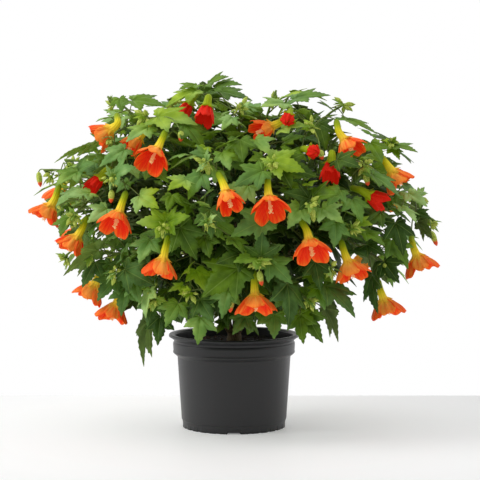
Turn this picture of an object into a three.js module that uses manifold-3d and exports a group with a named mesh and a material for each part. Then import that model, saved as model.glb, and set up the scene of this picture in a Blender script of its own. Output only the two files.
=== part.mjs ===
// Flowering maple (abutilon) in a black nursery pot.
// Millimetres, +Z up, origin at the centre of the pot's foot on the floor, the photographed side faces -Y.
import * as THREE from "three";
import Module from "manifold-3d";

const wasm = await Module();
wasm.setup();

// Pot and soil.
const POT_HEIGHT = 140;
const LIP_RADIUS = 98;
const COLLAR_RADIUS = 91.5;
const BODY_TOP_RADIUS = 85;
const BODY_FOOT_RADIUS = 79;
const FOOT_RADIUS = 77.5;
const FOOT_BAND = 11;
const WALL = 1.8;
const FLOOR = 2.6;
const LIP_DEPTH = 9;
const GROOVE = 3;
const GROOVE_DEPTH = 1.2;
const COLLAR_DEPTH = 16;
const COLLAR_STEP = 5;
const DRAIN_WIDTH = 20;
const DRAIN_HEIGHT = 7;
const DRAIN_COUNT = 4;
const DRAIN_REACH = 14;
const POT_SIDES = 28;
const SOIL_TOP = 127;
const SOIL_GAP = 0.35;
const SOIL_SIDES = 14;
const SOIL_BUMP = 1.6;

// Crown and stems.
const CROWN_FOOT = 112;
const CROWN_TOP = 146;
const CROWN_RADIUS = 12;
const CROWN_SPREAD = 9;
const STEM_RADIUS = 3.1;
const TIP_RADIUS = 1.6;
const SIDE_RADIUS = 2.1;
const WOODY_BENDS = 2;
const NODE_GAP = 0.3;
const MAIN_BENDS = 7;
const SIDE_BENDS = 3;
const STEM_SIDES = 4;
// A main shoot's two middle points: share of its run, of its rise, lift in mm and lift for each mm of run.
const BEND_LOW = [0.22, 0.45, 55, 0];
const BEND_HIGH = [0.7, 0.82, 20, 0.12];
// A side shoot's: how far it follows the main shoot, and how far along and how high its second bend lies.
const SIDE_LEAD = 0.35;
const SIDE_LIFT = 6;
const SIDE_BEND = 0.72;
const SIDE_ARCH = 0.12;
// Where stalks may leave, as shares of a main and of a side shoot, and how many places there are.
const SPOT_FROM = [0.36, 0.12];
const SPOT_STEPS = [16, 10];
const SPOT_LAST = 0.985;
const TIP_INSET = 0.96;

// View the plant was measured in.
const MM_PER_PIXEL = 1.5;
const AXIS_PIXEL = 234;
const FLOOR_PIXEL = 427;
const EYE = [9, -2400, 415];
const DOME = { x: 236, y: 214, halfWidth: 208, halfHeight: 152, depth: 262 };
const DOME_CENTRE = [4, 0, 318];
const DOME_AXES = [304, 272, 214];

// Leaves.
const BLADE_HALF = 0.4;
const BLADE_ROOT = 0.9;
const PETIOLE_RADIUS = 1.1;
const PETIOLE_ROOT = 0.7;
const LEAF_LONG = 66;
const LEAF_COMMON = 42;
const LEAF_FOLD = 0.1;
const LEAF_GROWN = 1.04;
const LEAF_STRETCH = 1.3;
const LEAF_DROOP = [0.12, 0.14];
const LEAF_SKEW = [0.88, 0.24];
const STALK_LENGTH = 34;
// Shares by which a leaf's upper side looks outward, up and to the viewer; the last two change near the top.
const FACE_OUT = 0.55;
const FACE_UP = [0.4, 0.7];
const FACE_VIEWER = [0.5, -0.2];
const SKY_ROW = 150;
const SKY_SPAN = 70;
const CLEARANCE = 1.0;
const ROD_SAMPLES = 24;
const BIG_LEAF = [[-0.15, 0.41], [0.48, 0.52], [0.45, 0.23]];
const SMALL_LEAF = [[0.29, 0.5], [0.43, 0.2]];
const SMALL_LEAF_UNDER = 48;

// Blooms.
const TUBE_LENGTH = 34;
const TUBE_STRAIGHT = 14;
const TUBE_TOP_RADIUS = 3.4;
const TUBE_MIDDLE_RADIUS = 5;
const TUBE_MOUTH_RADIUS = 6.3;
const PEDICEL_RADIUS = 1.0;
const SKIRT_DEPTH = 24;
const SKIRT_RADIUS = 27;
const PETAL_HALF = 0.45;
const PETALS = 5;
// Three points of a petal's rim: turn in degrees, share of the bell's radius and share of its depth.
const PETAL_RIM = [[31, 0.95, 0.9], [0, 1.03, 1], [-31, 0.9, 0.94]];
// How far each petal reaches out and hangs down, as shares, from the one nearest the viewer on.
const PETAL_SPREAD = [[1.02, 0.84], [1.08, 0.94], [0.94, 1.18], [0.9, 1.22], [1.02, 1.02]];
const PETAL_ROOT_TURN = 36;
const PETAL_ROOT_OUTER = [6.2, 1.5];
const PETAL_ROOT_INNER = [4.6, 3.4];
const BLOOM_STAND = 10;
const BLOOM_HEART = 12;
const TUBE_LEAN = 0.7;
const KNEE_AT = 0.6;
const KNEE_LIFT = 6;
const KNEE_RISE = 3;
const COLUMN_LENGTH = 27;
const COLUMN_RADIUS = 2.3;

// Each shoot: pixel of its tip and share of the dome's depth; side shoots also name where they leave.
const FRONT_STEMS = [
  { tip: [44, 170, 1], sides: [[75, 215, 1, 0.55]] },
  { tip: [108, 97, 1], sides: [[110, 138, 1, 0.6]] },
  { tip: [147, 117, 1], sides: [[113, 178, 1, 0.5]] },
  { tip: [201, 83, 0.2], sides: [[168, 100, 0.7, 0.6]] },
  { tip: [240, 109, 1], sides: [[207, 162, 1, 0.5]] },
  { tip: [276, 91, 0.5], sides: [[272, 163, 1, 0.5]] },
  { tip: [343, 105, 1], sides: [[312, 128, 1, 0.55]] },
  { tip: [391, 143, 1], sides: [[365, 165, 1, 0.6]] },
  { tip: [417, 195, 1], sides: [[436, 222, 1, 0.7]] },
  { tip: [311, 203, 1], sides: [[330, 268, 0.9, 0.5]] },
  { tip: [351, 229, 1], sides: [[384, 264, 1, 0.6]] },
  { tip: [258, 262, 1], sides: [[308, 300, 0.9, 0.5]] },
  { tip: [163, 228, 1], sides: [[208, 222, 1, 0.55], [190, 292, 0.95, 0.55]] },
  { tip: [116, 272, 1], sides: [[90, 255, 1, 0.7], [155, 300, 0.95, 0.6]] },
];
// Stems of the far side: azimuth from +X and elevation on the dome, in degrees; side shoots as offsets.
const BACK_STEMS = [
  { at: [12, 8], sides: [[18, -30], [14, 23]] },
  { at: [48, 12], sides: [[22, -34], [16, 38]] },
  { at: [84, 10], sides: [[24, -32], [-30, 52]] },
  { at: [118, 12], sides: [[22, -32], [-8, 36]] },
  { at: [150, 10], sides: [[20, -30], [2, 38]] },
  { at: [172, 24], sides: [[6, -18], [-44, 44]] },
];

// Blooms: pixels of the tube's top, its mouth and the middle of the rim, rim radius in pixels, inset in mm,
// and how many degrees the bell opens toward the camera.
const FRONT_BLOOMS = [
  [59, 184, 51, 206, 44, 219, 17.5, 0, 0], [85, 218, 77, 237, 71, 247, 17, 0, 0],
  [97, 272, 94, 285, 88, 297, 16, 0, -5], [121, 284, 116, 305, 111, 321, 17.5, 0, 0],
  [125, 192, 119, 213, 114, 230, 18, 0, 22], [168, 236, 163, 259, 159, 277, 18, 0, 0],
  [164, 132, 157, 150, 151, 163, 18, 0, 32], [116, 116, 110, 130, 99, 138, 15, -8, -5],
  [108, 170, 100, 178, 93, 186, 9, 45, 10], [148, 126, 139, 138, 131, 147, 11, 50, 10],
  [198, 94, 189, 105, 184, 113, 9, 62, 15], [209, 101, 207, 107, 205, 119, 12, 10, 25],
  [218, 174, 226, 192, 231, 206, 14, 0, 25], [268, 177, 269, 198, 271, 214, 19, 0, 30],
  [302, 221, 309, 240, 313, 257, 19, 0, 20], [254, 270, 255, 295, 256, 312, 21, 0, 6],
  [342, 241, 348, 262, 354, 278, 18, 0, 5], [379, 280, 384, 300, 389, 314, 18, 0, -5],
  [413, 238, 417, 256, 422, 268, 18, 0, -5], [382, 156, 392, 172, 400, 183, 16, 0, -8],
  [336, 121, 344, 140, 352, 152, 17, 0, 12], [331, 157, 331, 163, 330, 175, 12, 12, 20],
  [291, 112, 288, 118, 287, 121, 5, 0, 55], [282, 122, 271, 127, 262, 131, 13, 40, 15],
  [305, 149, 311, 151, 314, 152, 5, 0, 55], [355, 188, 369, 195, 380, 201, 12, 12, 0],
];
// Blooms of the far side: azimuth and elevation on the dome, in degrees.
const BACK_BLOOMS = [
  [34, 6], [44, -20], [54, 24], [66, -4], [82, 34], [92, -16],
  [108, 12], [124, -20], [138, 22], [148, -8], [158, 10],
];

// Leaves measured one by one: pixels of the blade's foot and tip, roll in degrees, inset in mm.
const SEEN_LEAVES = [
  [87, 148, 55, 162, 60, 0], [105, 141, 78, 157, 50, 0], [120, 99, 124, 113, 0, 0],
  [133, 101, 166, 108, 0, 0], [112, 118, 97, 122, 20, 0], [122, 118, 103, 136, 0, 0],
  [78, 172, 58, 186, 0, 0], [77, 172, 98, 163, 0, 8], [90, 193, 69, 196, 10, 10],
  [148, 128, 128, 142, 0, -6], [125, 150, 101, 167, 0, 0], [115, 175, 137, 167, 0, 0],
  [197, 86, 180, 91, 0, 0], [195, 92, 167, 108, 0, 0], [209, 84, 228, 79, 20, 0],
  [215, 88, 241, 87, 30, 0], [218, 92, 252, 102, 0, 0], [158, 117, 197, 125, 0, 0],
  [185, 125, 206, 150, 0, 6], [222, 153, 230, 170, 0, 0], [207, 156, 190, 153, 0, 0],
  [240, 140, 243, 162, 0, 0], [232, 118, 222, 131, 0, 0], [295, 99, 329, 96, 0, 0],
  [283, 104, 260, 108, 0, 0], [330, 109, 316, 103, 0, 0], [318, 124, 325, 150, 0, 6],
  [271, 161, 304, 172, 0, 0], [262, 171, 233, 187, 0, 0], [279, 166, 316, 178, 10, 8],
  [337, 160, 358, 168, 0, 0], [370, 143, 380, 163, 0, 0], [345, 120, 377, 134, -20, 0],
  [392, 146, 416, 152, -15, 0], [391, 148, 398, 160, 0, 0], [390, 141, 372, 137, 0, 0],
  [372, 175, 400, 195, -30, 0], [408, 193, 425, 206, 0, 0], [98, 251, 60, 273, 52, 0],
  [95, 262, 84, 287, 0, 0], [107, 209, 90, 222, 0, 0], [125, 270, 155, 285, 0, 0],
  [115, 280, 99, 299, 0, 6], [70, 218, 62, 236, 0, 0], [72, 210, 62, 206, 0, 0],
  [127, 288, 122, 315, 0, 8], [165, 222, 137, 222, 0, 0], [168, 222, 190, 215, 0, 0],
  [202, 175, 189, 199, 0, 0], [180, 228, 197, 259, 0, 0], [210, 210, 212, 238, 0, 6],
  [248, 186, 234, 209, 0, 0], [265, 220, 231, 236, 0, 0], [240, 254, 217, 262, 0, 0],
  [205, 238, 210, 257, 0, 10], [261, 256, 262, 231, 0, 0], [265, 254, 284, 244, 0, 0],
  [258, 256, 233, 259, 20, 0], [238, 269, 203, 296, 0, 0], [172, 195, 168, 211, 0, 0],
  [309, 199, 283, 192, 0, 0], [313, 197, 337, 194, 0, 0], [300, 207, 287, 228, 0, 0],
  [322, 208, 342, 222, 0, 4], [336, 223, 333, 247, 0, 0], [270, 262, 292, 283, 0, 0],
  [315, 262, 320, 290, 0, 8], [395, 223, 402, 255, 0, 0], [380, 212, 362, 225, 0, 0],
  [401, 207, 416, 222, -65, 0], [416, 213, 429, 219, 0, 0], [392, 240, 407, 268, 0, 8],
  [384, 262, 396, 283, 30, 0], [372, 275, 371, 314, 90, 0], [155, 300, 148, 325, 0, 0],
  [160, 317, 158, 345, 0, 0], [149, 322, 135, 368, 40, 0], [178, 304, 165, 325, 0, 4],
  [200, 300, 214, 320, 0, 0], [200, 318, 199, 343, 0, 0], [135, 283, 141, 302, 0, 8],
  [228, 290, 222, 317, 0, 6], [245, 317, 232, 333, 10, 4], [150, 290, 142, 317, 50, 4],
  [287, 284, 294, 326, 0, 0], [325, 309, 346, 341, -45, 0], [306, 311, 318, 344, 0, 0],
  [300, 315, 300, 343, 20, 8], [325, 286, 359, 312, -45, 0], [318, 288, 324, 308, 0, 8],
  [275, 315, 273, 337, 10, 0], [140, 196, 160, 208, 0, 0], [150, 165, 170, 182, 0, 4],
  [232, 238, 246, 252, 0, 8], [186, 180, 168, 190, 0, 8], [352, 200, 360, 222, 0, 4],
  [292, 150, 290, 172, 0, 10], [255, 140, 270, 155, 0, 6], [340, 190, 326, 205, 0, 8],
  [150, 240, 140, 262, 0, 6], [418, 222, 433, 241, -70, 0],
];
// Upper and lower outline of the leaves in the photographed view: pixel column and row.
const OUTLINE_TOP = [
  [24, 200], [32, 176], [44, 165], [60, 156], [80, 150], [88, 128], [100, 96], [112, 91], [136, 91],
  [168, 104], [180, 92], [192, 78], [224, 78], [240, 88], [256, 99], [268, 91], [280, 86], [304, 87],
  [344, 102], [360, 121], [380, 138], [400, 145], [412, 158], [424, 194], [444, 219],
];
const OUTLINE_FOOT = [
  [24, 222], [48, 228], [60, 272], [80, 290], [100, 306], [120, 322], [136, 366], [152, 345],
  [290, 341], [345, 340], [360, 312], [400, 311], [416, 290], [430, 272], [444, 262],
];
const SEEN_SLACK = 4;
const FILL_SLACK = 0;
const FILL_SEED = 4127;
const FILL_TRIES = 14;
const FILL_LIMIT = 53;
const FILL_FROM = 0.42;
const FILL_BEHIND = -70;
const FILL_FAR = 60;
const FILL_SCORE = 58;
const BLOOM_ROOM = 40;
const FILL_STALK = [22, 34];
const FILL_LENGTH = [46, 16];
const FILL_TIP_LENGTH = 38;
const FILL_ROLL = 50;
const FILL_DROOP = [0.1, 0.16];
const GOLDEN_TURN = 137.5;

// Small vector sums.
const add = (a, b) => [a[0] + b[0], a[1] + b[1], a[2] + b[2]];
const sub = (a, b) => [a[0] - b[0], a[1] - b[1], a[2] - b[2]];
const mul = (a, k) => [a[0] * k, a[1] * k, a[2] * k];
const dot = (a, b) => a[0] * b[0] + a[1] * b[1] + a[2] * b[2];
const cross = (a, b) => [a[1] * b[2] - a[2] * b[1], a[2] * b[0] - a[0] * b[2], a[0] * b[1] - a[1] * b[0]];
const size = (a) => Math.sqrt(dot(a, a));
const unit = (a) => mul(a, 1 / (size(a) || 1));
const mix = (a, b, t) => add(mul(a, 1 - t), mul(b, t));
const across = (a, axis) => unit(sub(a, mul(axis, dot(a, axis))));
const UP = [0, 0, 1];
const degrees = Math.PI / 180;

const DICE_STEP = 16807;
const DICE_RANGE = 2147483647;

// Seeded rolls from 0 to 1, the same on every run.
function dice(seed) {
  let state = seed;
  return () => {
    state = (state * DICE_STEP) % DICE_RANGE;
    return state / DICE_RANGE;
  };
}

function turned(a, axis, angle) {
  const side = cross(axis, a);
  const along = mul(axis, dot(a, axis) * (1 - Math.cos(angle)));
  return add(add(mul(a, Math.cos(angle)), mul(side, Math.sin(angle))), along);
}

// From the photographed view to space.
function spot(px, py, depth) {
  const k = (EYE[1] + depth) / EYE[1];
  const flat = [MM_PER_PIXEL * (px - AXIS_PIXEL), MM_PER_PIXEL * (FLOOR_PIXEL - py)];
  return [EYE[0] + (flat[0] - EYE[0]) * k, -depth, EYE[2] + (flat[1] - EYE[2]) * k];
}

// The pixel at which the camera sees a point.
function pixel(p) {
  const k = (EYE[1] - p[1]) / EYE[1];
  return [
    AXIS_PIXEL + (EYE[0] + (p[0] - EYE[0]) / k) / MM_PER_PIXEL,
    FLOOR_PIXEL - (EYE[2] + (p[2] - EYE[2]) / k) / MM_PER_PIXEL,
  ];
}

function between(rows, x) {
  for (let i = 0; i + 1 < rows.length; i++) {
    const [x0, y0] = rows[i];
    const [x1, y1] = rows[i + 1];
    if (x >= x0 && x <= x1) return y0 + ((y1 - y0) * (x - x0)) / (x1 - x0);
  }
  return null;
}

function insideOutline(p, slack) {
  const [x, y] = pixel(p);
  const top = between(OUTLINE_TOP, x);
  if (top === null) return false;
  return y > top - slack && y < between(OUTLINE_FOOT, x) + slack;
}

const leafInside = (leaf, slack) => leaf.rim.every((p) => insideOutline(p, slack));

function domeDepth(px, py) {
  const ex = (px - DOME.x) / DOME.halfWidth;
  const ey = (py - DOME.y) / DOME.halfHeight;
  return DOME.depth * Math.sqrt(Math.max(0, 1 - ex * ex - ey * ey));
}

function domePoint(azimuth, elevation, share) {
  const flat = Math.cos(elevation * degrees) * share;
  return [
    DOME_CENTRE[0] + DOME_AXES[0] * flat * Math.cos(azimuth * degrees),
    DOME_CENTRE[1] + DOME_AXES[1] * flat * Math.sin(azimuth * degrees),
    DOME_CENTRE[2] + DOME_AXES[2] * share * Math.sin(elevation * degrees),
  ];
}

function domeShare(p) {
  const e = sub(p, DOME_CENTRE);
  return Math.sqrt((e[0] / DOME_AXES[0]) ** 2 + (e[1] / DOME_AXES[1]) ** 2 + (e[2] / DOME_AXES[2]) ** 2);
}

function outward(p) {
  const e = sub(p, DOME_CENTRE);
  return unit([e[0] / DOME_AXES[0] ** 2, e[1] / DOME_AXES[1] ** 2, e[2] / DOME_AXES[2] ** 2]);
}

// Shoots as point lists.
function bezier(a, b, c, d, count) {
  const points = [];
  for (let i = 0; i <= count; i++) {
    const t = i / count;
    points.push(mix(mix(mix(a, b, t), mix(b, c, t), t), mix(mix(b, c, t), mix(c, d, t), t), t));
  }
  return points;
}

function mainPath(tip) {
  const azimuth = Math.atan2(tip[1], tip[0]);
  const start = [CROWN_SPREAD * Math.cos(azimuth), CROWN_SPREAD * Math.sin(azimuth), CROWN_TOP - 4];
  const rise = tip[2] - start[2];
  const run = [tip[0] - start[0], tip[1] - start[1], 0];
  const bend = ([share, climb, lift, arch]) => {
    return add(add(start, mul(run, share)), [0, 0, climb * rise + lift + arch * size(run)]);
  };
  return bezier(start, bend(BEND_LOW), bend(BEND_HIGH), tip, MAIN_BENDS);
}

function along(path, t) {
  const at = Math.min(path.length - 1.0001, t * (path.length - 1));
  const i = Math.floor(at);
  return mix(path[i], path[i + 1], at - i);
}

function heading(path, t) {
  return unit(sub(along(path, Math.min(1, t + 0.04)), along(path, Math.max(0, t - 0.04))));
}

function sidePath(main, leave, tip) {
  const start = along(main, leave);
  const gap = size(sub(tip, start));
  const second = add(add(start, mul(heading(main, leave), gap * SIDE_LEAD)), [0, 0, SIDE_LIFT]);
  const third = add(mix(start, tip, SIDE_BEND), [0, 0, gap * SIDE_ARCH]);
  return bezier(start, second, third, tip, SIDE_BENDS);
}

// What is already in place, for keeping new pieces clear of it.
const placed = [];

function boxOf(points, margin) {
  const lo = [Infinity, Infinity, Infinity];
  const hi = [-Infinity, -Infinity, -Infinity];
  for (const p of points) {
    for (let k = 0; k < 3; k++) {
      lo[k] = Math.min(lo[k], p[k] - margin);
      hi[k] = Math.max(hi[k], p[k] + margin);
    }
  }
  return [lo, hi];
}

function boxesMeet(a, b) {
  for (let k = 0; k < 3; k++) {
    if (a[0][k] > b[1][k] || b[0][k] > a[1][k]) return false;
  }
  return true;
}

function pierces(segment, triangle) {
  const way = sub(segment[1], segment[0]);
  const e1 = sub(triangle[1], triangle[0]);
  const e2 = sub(triangle[2], triangle[0]);
  const h = cross(way, e2);
  const det = dot(e1, h);
  if (Math.abs(det) < 1e-9) return false;
  const s = sub(segment[0], triangle[0]);
  const u = dot(s, h) / det;
  if (u < 0 || u > 1) return false;
  const q = cross(s, e1);
  const v = dot(way, q) / det;
  if (v < 0 || u + v > 1) return false;
  const w = dot(e2, q) / det;
  return w >= 0 && w <= 1;
}

function anyPierce(segments, triangles) {
  for (const segment of segments) {
    for (const triangle of triangles) {
      if (pierces(segment, triangle)) return true;
    }
  }
  return false;
}

function pointToRod(p, rod) {
  const way = sub(rod[1], rod[0]);
  const t = Math.max(0, Math.min(1, dot(sub(p, rod[0]), way) / dot(way, way)));
  return size(sub(p, add(rod[0], mul(way, t))));
}

function rodsMeet(mine, theirs) {
  for (const a of mine) {
    for (let i = 0; i <= ROD_SAMPLES; i++) {
      const p = mix(a[0], a[1], i / ROD_SAMPLES);
      for (const b of theirs) {
        if (pointToRod(p, b) < a[2] + b[2] + CLEARANCE) return true;
      }
    }
  }
  return false;
}

// A thin blade: a fan of triangles from its foot, with its edges and veins shifted to both sides.
function bladeThing(node, foot, rim, normal, half) {
  const triangles = [];
  const edges = [];
  for (let i = 0; i + 1 < rim.length; i++) triangles.push([foot, rim[i], rim[i + 1]]);
  for (const side of [half + CLEARANCE, 0, -half - CLEARANCE]) {
    const shift = mul(normal, side);
    const ring = [foot, ...rim].map((p) => add(p, shift));
    for (let i = 0; i < ring.length; i++) edges.push([ring[i], ring[(i + 1) % ring.length]]);
    for (let i = 2; i < ring.length - 1; i++) edges.push([ring[0], ring[i]]);
  }
  const border = [foot, ...rim].map((p, i, all) => [p, all[(i + 1) % all.length], half]);
  const box = boxOf([foot, ...rim], half + CLEARANCE);
  return { node, box, triangles, edges, border, lines: [], rods: [] };
}

function rodLines(rod) {
  const way = unit(sub(rod[1], rod[0]));
  const e1 = across(Math.abs(way[2]) < 0.9 ? UP : [1, 0, 0], way);
  const e2 = cross(way, e1);
  const lines = [];
  for (const e of [e1, e2, mul(e1, -1), mul(e2, -1)]) {
    const shift = mul(e, rod[2] + CLEARANCE);
    lines.push([add(rod[0], shift), add(rod[1], shift)]);
  }
  return lines;
}

function rodThings(node, path, radii) {
  for (let i = 0; i + 1 < path.length; i++) {
    const rod = [path[i], path[i + 1], Math.max(radii[i], radii[i + 1])];
    const box = boxOf([rod[0], rod[1]], rod[2] + CLEARANCE);
    placed.push({ node, box, triangles: [], edges: [], border: [], lines: rodLines(rod), rods: [rod] });
  }
}

function crosses(thing, other) {
  if (!boxesMeet(thing.box, other.box)) return false;
  if (anyPierce(thing.edges, other.triangles) || anyPierce(other.edges, thing.triangles)) return true;
  if (thing.node === other.node) return false;
  if (rodsMeet(thing.border, other.border)) return true;
  if (anyPierce(thing.lines, other.triangles) || anyPierce(other.lines, thing.triangles)) return true;
  if (rodsMeet(thing.rods, other.rods)) return true;
  return rodsMeet(thing.rods, other.border) || rodsMeet(other.rods, thing.border);
}

function isClear(things) {
  for (const thing of things) {
    for (const other of placed) {
      if (crosses(thing, other)) return false;
    }
  }
  return true;
}

// Stems.
function stemList() {
  const stems = [];
  for (const row of FRONT_STEMS) {
    const point = (s) => spot(s[0], s[1], domeDepth(s[0], s[1]) * s[2] * TIP_INSET);
    const main = mainPath(point(row.tip));
    const sides = row.sides.map((s) => ({ leave: s[3], path: sidePath(main, s[3], point(s)) }));
    stems.push({ main, sides });
  }
  for (const row of BACK_STEMS) {
    const main = mainPath(domePoint(row.at[0], row.at[1], 0.95));
    const sides = row.sides.map((s, k) => {
      const leave = 0.5 + 0.12 * k;
      return { leave, path: sidePath(main, leave, domePoint(row.at[0] + s[0], row.at[1] + s[1], 0.95)) };
    });
    stems.push({ main, sides });
  }
  return stems;
}

const mainRadius = (t) => STEM_RADIUS + (TIP_RADIUS - STEM_RADIUS) * t;
const sideRadius = (t) => SIDE_RADIUS + (TIP_RADIUS - SIDE_RADIUS) * t;

function placeStems(stems) {
  stems.forEach((stem, node) => {
    const radii = stem.main.map((_, i) => mainRadius(i / (stem.main.length - 1)));
    rodThings(node, stem.main, radii);
    for (const side of stem.sides) {
      rodThings(node, side.path, side.path.map((_, i) => sideRadius(i / (side.path.length - 1))));
    }
  });
}

// Every place on a shoot where a stalk may leave: node, point and the shoot's own direction there.
function stemSpots(stems) {
  const spots = [];
  stems.forEach((stem, node) => {
    const paths = [stem.main, ...stem.sides.map((s) => s.path)];
    paths.forEach((path, shoot) => {
      const kind = Math.min(shoot, 1);
      const from = SPOT_FROM[kind];
      const steps = SPOT_STEPS[kind];
      for (let i = 0; i <= steps; i++) {
        const t = from + (SPOT_LAST - from) * (i / steps);
        spots.push({ node, shoot, t, point: along(path, t), way: heading(path, t) });
      }
    });
  });
  return spots;
}

function best(list, cost) {
  let found = null;
  let least = Infinity;
  for (const item of list) {
    const value = cost(item);
    if (value < least) {
      least = value;
      found = item;
    }
  }
  return found;
}

// Blooms.
function frontBloom(row) {
  const [topX, topY, mouthX, mouthY, rimX, rimY, radius, inset, tilt] = row;
  const depth = domeDepth(mouthX, mouthY) + BLOOM_STAND - inset;
  const mouth = spot(mouthX, mouthY, depth);
  const flatTop = spot(topX, topY, depth);
  const flatRim = spot(rimX, rimY, depth);
  const drop = unit(sub(flatRim, mouth));
  const axis = add(mul(drop, Math.cos(tilt * degrees)), [0, -Math.sin(tilt * degrees), 0]);
  const back = sub(flatTop, mouth);
  const inward = Math.sqrt(Math.max(0, TUBE_LENGTH ** 2 - dot(back, back)));
  const top = add(mouth, mul(unit(add(back, [0, inward * TUBE_LEAN, 0])), TUBE_LENGTH));
  return { mouth, top, axis, radius: radius * MM_PER_PIXEL };
}

function backBloom(row, roll) {
  const mouth = domePoint(row[0], row[1], 0.98);
  const out = outward(mouth);
  const axis = unit(add(mul(out, 0.25 + 0.5 * roll()), [0.2 * roll() - 0.1, 0, -1]));
  const top = add(mouth, mul(unit(add(mul(axis, -1), mul(out, -0.3))), TUBE_LENGTH));
  return { mouth, top, axis, radius: SKIRT_RADIUS * (0.9 + 0.15 * roll()) };
}

// Rim and root points of one petal.
function petalPoints(bloom, index) {
  const { mouth, axis, radius } = bloom;
  const [reach, hang] = PETAL_SPREAD[index];
  const e1 = across(Math.abs(axis[1]) < 0.9 ? [0, -1, 0] : UP, axis);
  const e2 = cross(axis, e1);
  const at = (turn, far, depth) => {
    const angle = (index * 360 / PETALS + turn) * degrees;
    const flat = add(mul(e1, Math.cos(angle) * far), mul(e2, Math.sin(angle) * far));
    return add(add(mouth, flat), mul(axis, depth));
  };
  return {
    rim: PETAL_RIM.map(([turn, wide, deep]) => at(turn, radius * wide * reach, SKIRT_DEPTH * deep * hang)),
    outer: [at(PETAL_ROOT_TURN, ...PETAL_ROOT_OUTER), at(-PETAL_ROOT_TURN, ...PETAL_ROOT_OUTER)],
    inner: [at(PETAL_ROOT_TURN, ...PETAL_ROOT_INNER), at(-PETAL_ROOT_TURN, ...PETAL_ROOT_INNER)],
  };
}

function bloomPaths(bloom, spots) {
  const hook = best(spots, (s) => {
    const below = Math.max(0, bloom.top[2] + 4 - s.point[2]);
    return size(sub(s.point, bloom.top)) + 1.2 * below;
  });
  const away = unit(sub(bloom.top, bloom.mouth));
  const knee = add(mix(hook.point, bloom.top, KNEE_AT), add(mul(away, KNEE_LIFT), [0, 0, KNEE_RISE]));
  const bell = sub(bloom.mouth, mul(bloom.axis, TUBE_STRAIGHT));
  return { hook, path: [hook.point, knee, bloom.top, bell, bloom.mouth] };
}

const BLOOM_RADII = [
  PEDICEL_RADIUS, PEDICEL_RADIUS, TUBE_TOP_RADIUS, TUBE_MIDDLE_RADIUS, TUBE_MOUTH_RADIUS,
];

function placeBlooms(spots) {
  const roll = dice(977);
  const rows = [...FRONT_BLOOMS.map(frontBloom), ...BACK_BLOOMS.map((row) => backBloom(row, roll))];
  return rows.map((bloom, index) => {
    const { hook, path } = bloomPaths(bloom, spots);
    rodThings(hook.node, path, BLOOM_RADII);
    for (let k = 0; k < PETALS; k++) {
      const { rim, outer } = petalPoints(bloom, k);
      const normal = unit(cross(sub(rim[0], outer[0]), sub(rim[2], outer[0])));
      placed.push(bladeThing(`bloom${index}`, outer[1], [outer[0], ...rim], normal, PETAL_HALF));
    }
    const tip = add(bloom.mouth, mul(bloom.axis, COLUMN_LENGTH));
    rodThings(`bloom${index}`, [bloom.mouth, tip], [COLUMN_RADIUS, COLUMN_RADIUS]);
    return { ...bloom, node: hook.node, path };
  });
}

// Leaves.
function leafRim(leaf) {
  const { foot, way, side, normal, length, droop, lobes, skew } = leaf;
  const at = ([u, v], wide) => {
    const lift = LEAF_FOLD * Math.abs(v) - droop * (u * u + 0.8 * v * v);
    return add(foot, mul(add(add(mul(way, u), mul(side, v * wide)), mul(normal, lift)), length));
  };
  const right = lobes.map(([u, v]) => at([u, -v], skew[0]));
  const left = lobes.map(([u, v]) => at([u, v], skew[1])).reverse();
  return [...right, at([1, 0], 1), ...left];
}

function makeLeaf(node, root, foot, way, face, roll, length, droop, skew) {
  const flat = across(face, way);
  const tilted = unit(add(way, mul(flat, droop)));
  const normal = turned(across(face, tilted), tilted, roll * degrees);
  const side = cross(normal, tilted);
  const lobes = length < SMALL_LEAF_UNDER ? SMALL_LEAF : BIG_LEAF;
  const leaf = { node, root, foot, way: tilted, side, normal, length, droop, lobes, skew };
  leaf.rim = leafRim(leaf);
  return leaf;
}

function leafThings(leaf) {
  const rod = [leaf.root, leaf.foot, PETIOLE_RADIUS];
  const stalk = { node: leaf.node, box: boxOf([rod[0], rod[1]], PETIOLE_RADIUS + CLEARANCE) };
  Object.assign(stalk, { triangles: [], edges: [], border: [], lines: rodLines(rod), rods: [rod] });
  return [bladeThing(leaf.node, leaf.foot, leaf.rim, leaf.normal, BLADE_HALF), stalk];
}

function leafFits(leaf) {
  const stalk = unit(sub(leaf.foot, leaf.root));
  if (dot(stalk, unit(add(leaf.way, leaf.normal))) < 0.3) return false;
  for (const p of [...leaf.rim, leaf.foot, mix(leaf.root, leaf.foot, 0.5)]) {
    if (p[2] < POT_HEIGHT + 6 && Math.hypot(p[0], p[1]) < LIP_RADIUS + 4) return false;
  }
  return isClear(leafThings(leaf));
}

function settle(leaf, leaves) {
  placed.push(...leafThings(leaf));
  leaves.push(leaf);
}

const skewFrom = (roll) => LEAF_SKEW[0] + LEAF_SKEW[1] * roll;

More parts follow.
